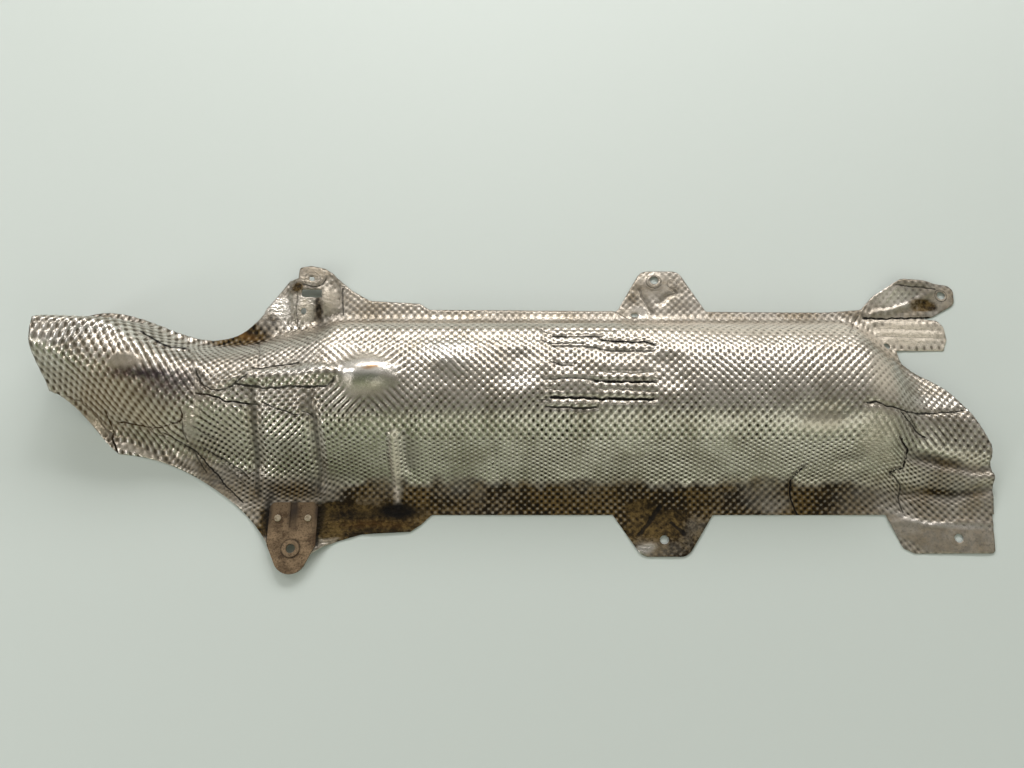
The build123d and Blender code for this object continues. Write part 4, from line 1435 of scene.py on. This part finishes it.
    def _placed(self, x: np.ndarray, y: np.ndarray, lift: np.ndarray) -> tuple[np.ndarray, np.ndarray]:
        """Put each point on the outer face, moved by its relief.

        Args:
            x: Places along the sheet.
            y: Places across it, seen from above.
            lift: Relief out of the outer face.

        Returns:
            The points and the face's normals there.
        """
        s = self.surface
        slope_x, slope_y = s.sample(s.slope_x, x, y), s.sample(s.slope_y, x, y)
        normals = np.stack([-slope_x, -slope_y, np.ones_like(x)], axis=1)
        normals /= np.linalg.norm(normals, axis=1, keepdims=True)
        points = np.stack([x, y, s.sample(s.heights, x, y)], axis=1)
        return points + normals * lift[:, None], normals


@dataclass(frozen=True)
class Ramp:
    """A rise from one number to another while a value passes a stretch."""

    low: float
    high: float
    start: float = 0.0
    end: float = 1.0
    kind: str = "SMOOTHSTEP"


@dataclass(frozen=True)
class Value:
    """A number or a colour in a shader. Numbers are joined by plain arithmetic."""

    tree: NodeTree
    socket: bpy.types.NodeSocket

    def __add__(self, other: Value | float) -> Value:
        """Add a number."""
        return self.tree.math("ADD", self, other)

    def __sub__(self, other: Value | float) -> Value:
        """Take a number off."""
        return self.tree.math("SUBTRACT", self, other)

    def __rsub__(self, other: float) -> Value:
        """Take this off a number."""
        return self.tree.math("SUBTRACT", other, self)

    def __mul__(self, other: Value | float) -> Value:
        """Multiply by a number."""
        return self.tree.math("MULTIPLY", self, other)

    def __abs__(self) -> Value:
        """Drop the sign."""
        return self.tree.math("ABSOLUTE", self)

    def scaled(self, factor: Value | float, shift: Value | float) -> Value:
        """Multiply by a factor and add a shift."""
        return self.tree.math("MULTIPLY_ADD", self, factor, shift)

    def most(self, other: Value | float) -> Value:
        """Give the larger of two numbers."""
        return self.tree.math("MAXIMUM", self, other)

    def ramp(self, ramp: Ramp) -> Value:
        """Map one stretch of the number to another.

        Args:
            ramp: The stretch, and what it is mapped to.

        Returns:
            The mapped number.
        """
        node = self.tree.nodes.new("ShaderNodeMapRange")
        node.interpolation_type = ramp.kind
        inputs = {"From Min": ramp.low, "From Max": ramp.high, "To Min": ramp.start, "To Max": ramp.end}
        for name, value in (inputs | {"Value": self}).items():
            self.tree.put(value, node.inputs[name])
        return Value(self.tree, node.outputs["Result"])


class NodeTree:
    """A short way to lay out the nodes of a material or a world."""

    FIRST_COLOUR, SECOND_COLOUR, MIXED_COLOUR = 6, 7, 2

    def __init__(self, tree: bpy.types.NodeTree) -> None:
        """Take Blender's own tree."""
        self.nodes, self.links = tree.nodes, tree.links

    def put(self, value: Value | Colour | float, socket: bpy.types.NodeSocket) -> None:
        """Link a value to a socket, or set a constant there.

        Args:
            value: A value of the shader, or a constant.
            socket: The input that takes it.
        """
        if isinstance(value, Value):
            self.links.new(value.socket, socket)
        else:
            socket.default_value = (*value, 1.0) if isinstance(value, tuple) else value

    def field(self, name: str) -> Value:
        """Read a painted field.

        Args:
            name: The field's name.

        Returns:
            Its value at the shaded point.
        """
        node = self.nodes.new("ShaderNodeAttribute")
        node.attribute_name = name
        return Value(self, node.outputs["Fac"])

    def vector(self, name: str) -> list[Value]:
        """Read a painted vector field.

        Args:
            name: The field's name.

        Returns:
            Its three parts at the shaded point.
        """
        node = self.nodes.new("ShaderNodeAttribute")
        node.attribute_name = name
        return self._parts(node.outputs["Vector"])

    def place(self, space: str = "Object") -> list[Value]:
        """Give the three parts of the place, in metres."""
        return self._parts(self.nodes.new("ShaderNodeTexCoord").outputs[space])

    def _parts(self, vector: bpy.types.NodeSocket) -> list[Value]:
        """Take a vector apart.

        Args:
            vector: The output that gives the vector.

        Returns:
            Its three parts.
        """
        node = self.nodes.new("ShaderNodeSeparateXYZ")
        self.links.new(vector, node.inputs[0])
        return [Value(self, part) for part in node.outputs]

    def noise(self, scale: float, detail: float, rough: float = 0.6) -> Value:
        """Add noise in object space.

        Args:
            scale: How fine the noise is.
            detail: How many octaves it has.
            rough: How strong the finer octaves are.

        Returns:
            The noise, from 0 to 1.
        """
        place = self.nodes.new("ShaderNodeTexCoord")
        node = self.nodes.new("ShaderNodeTexNoise")
        for name, value in {"Scale": scale, "Detail": detail, "Roughness": rough}.items():
            self.put(value, node.inputs[name])
        self.links.new(place.outputs["Object"], node.inputs["Vector"])
        return Value(self, node.outputs["Fac"])

    def math(self, operation: str, *values: Value | float) -> Value:
        """Join numbers.

        Args:
            operation: Blender's name for the operation.
            values: The numbers.

        Returns:
            The result.
        """
        node = self.nodes.new("ShaderNodeMath")
        node.operation = operation
        for value, socket in zip(values, node.inputs):
            self.put(value, socket)
        return Value(self, node.outputs[0])

    def mix(self, share: Value, first: Value | Colour, second: Value | Colour) -> Value:
        """Mix two colours.

        Args:
            share: How much of the second colour shows.
            first: The first colour.
            second: The second colour.

        Returns:
            The mixed colour.
        """
        node = self.nodes.new("ShaderNodeMix")
        node.data_type = "RGBA"
        self.put(share, node.inputs[0])
        self.put(first, node.inputs[self.FIRST_COLOUR])
        self.put(second, node.inputs[self.SECOND_COLOUR])
        return Value(self, node.outputs[self.MIXED_COLOUR])


class Finish(NodeTree):
    """A material with one shader."""

    def __init__(self, name: str) -> None:
        """Start the material with one plain shader.

        Args:
            name: The material's name.
        """
        self.material = bpy.data.materials.new(name)
        self.material.use_nodes = True
        super().__init__(self.material.node_tree)
        self.nodes.clear()
        out = self.nodes.new("ShaderNodeOutputMaterial")
        self.shader = self.nodes.new("ShaderNodeBsdfPrincipled")
        self.links.new(self.shader.outputs[0], out.inputs["Surface"])

    def shade(self, inputs: dict[str, Value | Colour | float]) -> None:
        """Give the shader its inputs."""
        for name, value in inputs.items():
            self.put(value, self.shader.inputs[name])

    def bump(self, height: Value, distance_m: float, strength: float) -> None:
        """Roughen the shader's normal.

        Args:
            height: The fine relief.
            distance_m: Its height in metres.
            strength: How strongly it shows.
        """
        node = self.nodes.new("ShaderNodeBump")
        for name, value in {"Distance": distance_m, "Strength": strength, "Height": height}.items():
            self.put(value, node.inputs[name])
        self.links.new(node.outputs[0], self.shader.inputs["Normal"])


@dataclass(frozen=True)
class AgedAluminium:
    """Embossed aluminium with grey oxide, brown dirt and painted shade in its pits, dark cracks, a heat
    stain and painted highlights.
    """

    metal: Colour = linear(208, 199, 186)
    # The near white of the painted highlights
    painted_highlight: Colour = linear(250, 245, 238)
    oxide: Colour = linear(160, 150, 134)
    # Pits darkened, partly as dirt and partly as painted shade
    pit: Colour = linear(106, 98, 85)
    dirt: Colour = linear(38, 27, 9)
    # The darkest pits, partly dirt and partly painted shade
    dry_dirt: Colour = linear(112, 90, 52)
    dirt_and_shade_pit: Colour = linear(15, 10, 2)
    black: Colour = linear(16, 12, 9)
    rust: Colour = linear(186, 128, 52)
    stain: Colour = linear(48, 48, 58)
    # Pale oxide, also painted as light on faces that catch it
    chalk_and_painted_light: Colour = linear(226, 213, 195)

    # Scale and detail of the noises
    clouds: tuple[float, ...] = (30.0, 5.0)
    grains: tuple[float, ...] = (420.0, 3.0)
    frays: tuple[float, ...] = (260.0, 2.0)

    # Where each layer covers the one below
    pits: Ramp = Ramp(-0.1, -0.8)
    pit_cover: float = 0.9
    bumps: Ramp = Ramp(0.15, 0.95)
    # How much painted highlight lies on the bumps
    bump_highlight_share: float = 0.55
    dull_clouds: Ramp = Ramp(0.36, 0.68, 0.1, 0.9)
    dark_grains: Ramp = Ramp(0.5, 0.72, 0.0, 0.4)
    bare_bumps: float = 0.5
    thin_dirt: Ramp = Ramp(0.3, 0.75, 1.0, 0.85)
    dry_clouds: Ramp = Ramp(0.78, 1.3)
    dry_bumps: float = 0.22
    stain_grains: Ramp = Ramp(0.25, 0.65, 0.7, 1.0)
    soot_and_shadow_frays: Ramp = Ramp(0.25, 0.6, 0.65, 1.0)
    dirt_in_pits: Ramp = Ramp(0.0, 1.0, 0.75, 1.0)
    hairline: Ramp = Ramp(1.25, 0.55)
    hairline_fray: float = 0.9
    thinnest: float = 0.05

    # Shine
    metal_share: Ramp = Ramp(0.0, 0.9, 0.92, 0.0)
    pale_dulls: float = 0.9
    specular: float = 0.2
    roughness: Ramp = Ramp(0.0, 0.9, 0.29, 0.75)
    grain_roughness: Ramp = Ramp(0.3, 0.7, -0.05, 0.07)
    pit_roughness: float = 0.12
    polish_smooths: float = 0.1

    # Fine relief
    emboss_height: float = 0.5
    grain_height: float = 0.35
    crack_depth: float = 1.2
    crease_pitch: float = 4.2
    crease_height: float = 2.6
    crease_drift: float = 9.0
    crease_fray: float = 11.0
    crease_wave: float = 0.22
    relief_m: float = 0.0006
    relief_strength: float = 0.8

    def material(self) -> bpy.types.Material:
        """Lay out the finish.

        Returns:
            A material that reads the sheet's painted fields.
        """
        t = Finish("aged_aluminium")
        cloud, grain, fray = (t.noise(*noise) for noise in (self.clouds, self.grains, self.frays))
        grime_and_shade, chalk_and_painted_light, polish_and_highlight = (t.field(name) for name in ("grime_and_shade", "chalk_and_painted_light", "polish_and_highlight"))
        amount, ink = t.field("amount"), self._ink(t, fray)
        wave = self._wave(t)
        pit, bump = wave.ramp(self.pits) * amount, wave.ramp(self.bumps) * amount

        # Bare metal, with painted highlights on the bumps and the polished spots, pale oxide and painted
        # light
        colour = t.mix(cloud.ramp(self.dull_clouds), self.metal, self.oxide)
        # Painted highlight on the bumps, weaker under dirt and painted shade
        bump_highlight = bump * (self.bump_highlight_share - grime_and_shade * self.bump_highlight_share)
        colour = t.mix(bump_highlight.most(polish_and_highlight), colour, self.painted_highlight)
        colour = t.mix(chalk_and_painted_light, colour, self.chalk_and_painted_light)
        colour = t.mix(grain.ramp(self.dark_grains), colour, self.pit)

        # Dirt, soot, cracks and stains, with painted shade in the pits, the valleys, beside the tongue and
        # under edges
        brown = grime_and_shade * bump.scaled(-self.bare_bumps, 1.0) * fray.ramp(self.thin_dirt)
        dry = (cloud + (wave * amount).scaled(self.dry_bumps, fray)).ramp(self.dry_clouds)
        colour = t.mix(brown, colour, t.mix(dry, self.dirt, self.dry_dirt))
        # Darker pits, partly dirt and partly painted shade, most on the near side
        deep = t.mix(grime_and_shade.most(t.field("pit_darkness")), self.pit, self.dirt_and_shade_pit)
        colour = t.mix(pit * self.pit_cover, colour, deep)
        # Heat stain, with painted shade under the boss and in the crown's dip
        colour = t.mix(t.field("scorch_and_shade") * grain.ramp(self.stain_grains), colour, self.stain)
        dark = ink.most(t.field("soot_and_shadow") * fray.ramp(self.soot_and_shadow_frays))
        colour = t.mix(dark, colour, self.black)
        colour = t.mix(t.field("rust"), colour, self.rust)

        # Shine and fine relief
        # Dirt, cracks and painted shade dull the metal
        dirt_and_shade = dark.most(grime_and_shade * pit.ramp(self.dirt_in_pits))
        rough = dirt_and_shade.ramp(self.roughness) + grain.ramp(self.grain_roughness)
        t.shade({
            "Base Color": colour,
            "Metallic": dirt_and_shade.ramp(self.metal_share) * chalk_and_painted_light.scaled(-self.pale_dulls, 1.0),
            "Specular IOR Level": self.specular,
            "Roughness": rough + pit * self.pit_roughness - polish_and_highlight * self.polish_smooths,
        })
        height = wave * amount * self.emboss_height + grain * self.grain_height - ink * self.crack_depth
        across = t.vector("sheet")[1].scaled(2 * math.pi / self.crease_pitch, cloud * self.crease_drift)
        fold = t.math("SINE", fray.scaled(self.crease_fray, across)).scaled(self.crease_wave, fray)
        height = (t.field("crease") * fold).scaled(self.crease_height, height)
        t.bump(height, self.relief_m, self.relief_strength)
        return t.material

    def _wave(self, t: NodeTree) -> Value:
        """Draw the embossing from the sheet's own places, finer than the mesh.

        Args:
            t: The finish's nodes.

        Returns:
            The embossing, from -1 in the pits to 1 on the bumps.
        """
        x, v, streak = t.vector("sheet")
        turn = 2 * math.pi / EMBOSS_PITCH
        falling, rising = t.math("COSINE", (x + v) * turn), t.math("COSINE", (x - v) * turn)
        return rising + (falling - rising) * streak.scaled(0.5, 0.5)

    def _ink(self, t: NodeTree, fray: Value) -> Value:
        """Draw the dark lines, cracks and painted shade, from the painted distances.

        Args:
            t: The finish's nodes.
            fray: Noise that makes the lines ragged.

        Returns:
            How dark each point is.
        """
        jitter = fray.scaled(2 * self.hairline_fray, -self.hairline_fray)
        layers = []
        for k in range(InkLayers.COUNT):
            signed, strength, width = t.vector(f"ink_{k}")
            share = t.math("DIVIDE", abs(signed + jitter), width.most(self.thinnest))
            layers.append(share.ramp(self.hairline) * strength)
        total = layers[0]
        for layer in layers[1:]:
            total = total.most(layer)
        return total


@dataclass(frozen=True)
class StainedSteel:
    """Smooth steel of the tongue, dull and stained with dirt. Its sizes are in metres."""

    metal: Colour = linear(156, 132, 104)
    dirt: Colour = linear(78, 56, 30)
    speck: Colour = linear(36, 24, 11)
    stain_half: float = 0.006
    stain_length: float = 0.036
    soft_edge: float = 0.3
    stain: float = 0.85
    upper_dirt: float = 0.6
    side_band: float = 0.005
    side_shade: float = 0.9
    hole_rise: float = 0.023
    ring_radius: float = 0.0085
    ring_half: float = 0.0012
    ring_core: float = 0.2
    ring_dark: float = 0.6
    ring_highlight: float = 0.5

    # Noises, and what shows where they are strong
    clouds: tuple[float, ...] = (95.0, 8.0, 0.75)
    grains: tuple[float, ...] = (600.0, 3.0)
    dirt_clouds: Ramp = Ramp(0.38, 0.62)
    glint_grains: Ramp = Ramp(0.4, 0.6, 1.0, 0.5)
    speck_grains: Ramp = Ramp(0.5, 0.66, 0.0, 0.6)
    speck_clouds: Ramp = Ramp(0.3, 0.55, 0.6, 1.0)
    metal_share: Ramp = Ramp(0.0, 1.0, 0.75, 0.2)
    roughness: Ramp = Ramp(0.3, 0.7, 0.42, 0.6)
    relief_m: float = 0.0003
    relief_strength: float = 0.3

    def material(self, low: Vector, high: Vector) -> bpy.types.Material:
        """Lay out the finish.

        Args:
            low: The low corner of the plate's box.
            high: Its high corner.

        Returns:
            A material with a dark stain down the middle, painted shade along both sides, and a dark ring at
            the hole with a painted highlight inside it.
        """
        t = Finish("stained_steel")
        cloud, grain = t.noise(*self.clouds), t.noise(*self.grains)
        x, y, _ = t.place()
        half = 0.5 * (high[0] - low[0])
        aside = abs(x - 0.5 * (low[0] + high[0]))
        upper = y.ramp(Ramp(high[1] - self.stain_length, high[1] - self.soft_edge * self.stain_length))
        stain = aside.ramp(Ramp(self.soft_edge * self.stain_half, self.stain_half, self.stain, 0.0)) * upper
        # Painted shade along both sides of the tongue
        side = aside.ramp(Ramp(half - self.side_band, half, 0.0, self.side_shade)) * upper
        dirt = cloud.ramp(self.dirt_clouds).most(upper * self.upper_dirt)
        colour = t.mix(dirt, self.metal, self.dirt)
        rise = y - (low[1] + self.hole_rise)
        off_ring = t.math("SQRT", rise.scaled(rise, aside * aside)) - self.ring_radius
        ring = abs(off_ring).ramp(Ramp(self.ring_core * self.ring_half, self.ring_half, self.ring_dark, 0.0))
        # A painted highlight inside the ring at the hole
        pale = off_ring.ramp(Ramp(-self.ring_half, 0.0, self.ring_highlight, 0.0)) * grain.ramp(self.glint_grains)
        colour = t.mix(pale, colour, self.metal)
        dark = stain.most(side).most(ring).most(grain.ramp(self.speck_grains))
        colour = t.mix(dark * cloud.ramp(self.speck_clouds), colour, self.speck)
        t.shade({
            "Base Color": colour,
            "Metallic": dirt.ramp(self.metal_share),
            "Roughness": grain.ramp(self.roughness),
        })
        t.bump(grain + cloud - ring, self.relief_m, self.relief_strength)
        return t.material


@dataclass(frozen=True)
class DullRivet:
    """Pale, dull aluminium of the rivet heads."""

    metal: Colour = linear(190, 176, 152)
    dirt: Colour = linear(110, 90, 66)
    clouds: tuple[float, ...] = (300.0, 4.0)
    dirt_clouds: Ramp = Ramp(0.4, 0.7, 0.0, 0.8)
    metal_share: float = 0.7
    roughness: Ramp = Ramp(0.3, 0.7, 0.35, 0.55)
    relief_m: float = 0.0002
    relief_strength: float = 0.3

    def material(self) -> bpy.types.Material:
        """Lay out the finish.

        Returns:
            A material with dull, unevenly dirty metal.
        """
        t = Finish("dull_rivet")
        cloud = t.noise(*self.clouds)
        t.shade({
            "Base Color": t.mix(cloud.ramp(self.dirt_clouds), self.metal, self.dirt),
            "Metallic": self.metal_share,
            "Roughness": cloud.ramp(self.roughness),
        })
        t.bump(cloud, self.relief_m, self.relief_strength)
        return t.material


@dataclass(frozen=True)
class Lamp:
    """A soft lamp that points at the shield, with its place and size in metres."""

    name: str
    place: tuple[float, float, float]
    size: tuple[float, float]
    power: float

    def build(self) -> None:
        """Hang the lamp."""
        data = bpy.data.lights.new(self.name, "AREA")
        data.shape = "RECTANGLE"
        data.size, data.size_y = self.size
        data.energy = self.power
        lamp = bpy.data.objects.new(self.name, data)
        lamp.location = self.place
        lamp.rotation_euler = (-Vector(self.place)).to_track_quat("-Z", "Y").to_euler()
        bpy.context.scene.collection.objects.link(lamp)


LAMPS = (
    Lamp("key_lamp", (0.2, 1.75, 1.2), (2.8, 0.7), 27.0),
    Lamp("spark_lamp", (-0.1, 1.6, 1.4), (0.4, 0.25), 5.0),
    Lamp("left_lamp", (-1.7, -0.6, 1.1), (1.2, 1.2), 4.0),
    Lamp("scoop_lamp", (-1.7, -0.9, 0.9), (0.3, 0.3), 4.0),
    Lamp("back_left_lamp", (-1.4, 0.75, 1.3), (0.5, 0.5), 4.0),
    Lamp("fill_lamp", (0.7, -1.5, 1.1), (2.2, 1.4), 8.0),
)


@dataclass(frozen=True)
class Studio:
    """A plain pale floor, a soft sky and the lamps."""

    floor_colour: Colour = linear(212, 218, 213)
    floor_roughness: float = 0.55
    floor_size_m: float = 8.0
    sky: Colour = linear(204, 203, 199)
    mint: Colour = linear(155, 172, 133)
    near_mint: Ramp = Ramp(-0.75, 0.1, kind="LINEAR")
    zenith_dim: Ramp = Ramp(0.6, 1.0, 0.7, 0.44, "LINEAR")
    left_dim: Ramp = Ramp(-0.9, -0.3, 0.5, 1.0, "LINEAR")

    def build(self) -> None:
        """Make the floor, the world and the lamps."""
        self._floor()
        self._world()
        for lamp in LAMPS:
            lamp.build()
        bpy.context.scene.view_settings.view_transform = "Standard"

    def _floor(self) -> None:
        """Make the plain floor."""
        half = 0.5 * self.floor_size_m
        corners = np.array([(-half, -half, 0), (half, -half, 0), (half, half, 0), (-half, half, 0)]) / MM
        floor = MeshParts(corners, [(0, 1, 2, 3)], {}).build("floor")
        t = Finish("pale_floor")
        t.shade({"Base Color": self.floor_colour, "Roughness": self.floor_roughness})
        floor.data.materials.append(t.material)

    def _world(self) -> None:
        """Make a soft sky that turns faintly green on the near side and dims overhead and to the left."""
        world = bpy.data.worlds.new("soft_sky")
        bpy.context.scene.world = world
        world.use_nodes = True
        t = NodeTree(world.node_tree)
        background = t.nodes["Background"]
        x, y, z = t.place("Generated")
        t.put(t.mix(y.ramp(self.near_mint), self.mint, self.sky), background.inputs["Color"])
        t.put(z.ramp(self.zenith_dim) * x.ramp(self.left_dim), background.inputs["Strength"])


def dress(node: bpy.types.Object, material: bpy.types.Material) -> None:
    """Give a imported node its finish.

    Args:
        node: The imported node. Only its material changes.
        material: The finish.
    """
    node.data.materials.clear()
    node.data.materials.append(material)
    LOG.info("%s: %s", node.name, material.name)


def main() -> None:
    """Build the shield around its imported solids."""
    logging.basicConfig(level=logging.INFO)
    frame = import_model()
    camera = PhotoCamera()
    camera.build()
    Studio().build()
    shell = ShieldShell(SheetSurface(frame["nodes"]["shield_shell"]), camera)
    sheet = shell.build()
    sheet.data.materials.append(AgedAluminium().material())
    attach(sheet, "root")
    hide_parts("shield_shell")
    triangles = sum(len(p.vertices) - 2 for p in sheet.data.polygons)
    LOG.info("%s: %d triangles", sheet.name, triangles)
    dress(frame["nodes"]["lower_left_bracket"], StainedSteel().material(*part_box("lower_left_bracket")))
    dress(frame["nodes"]["bracket_rivets"], DullRivet().material())


if __name__ == "__main__":
    main()
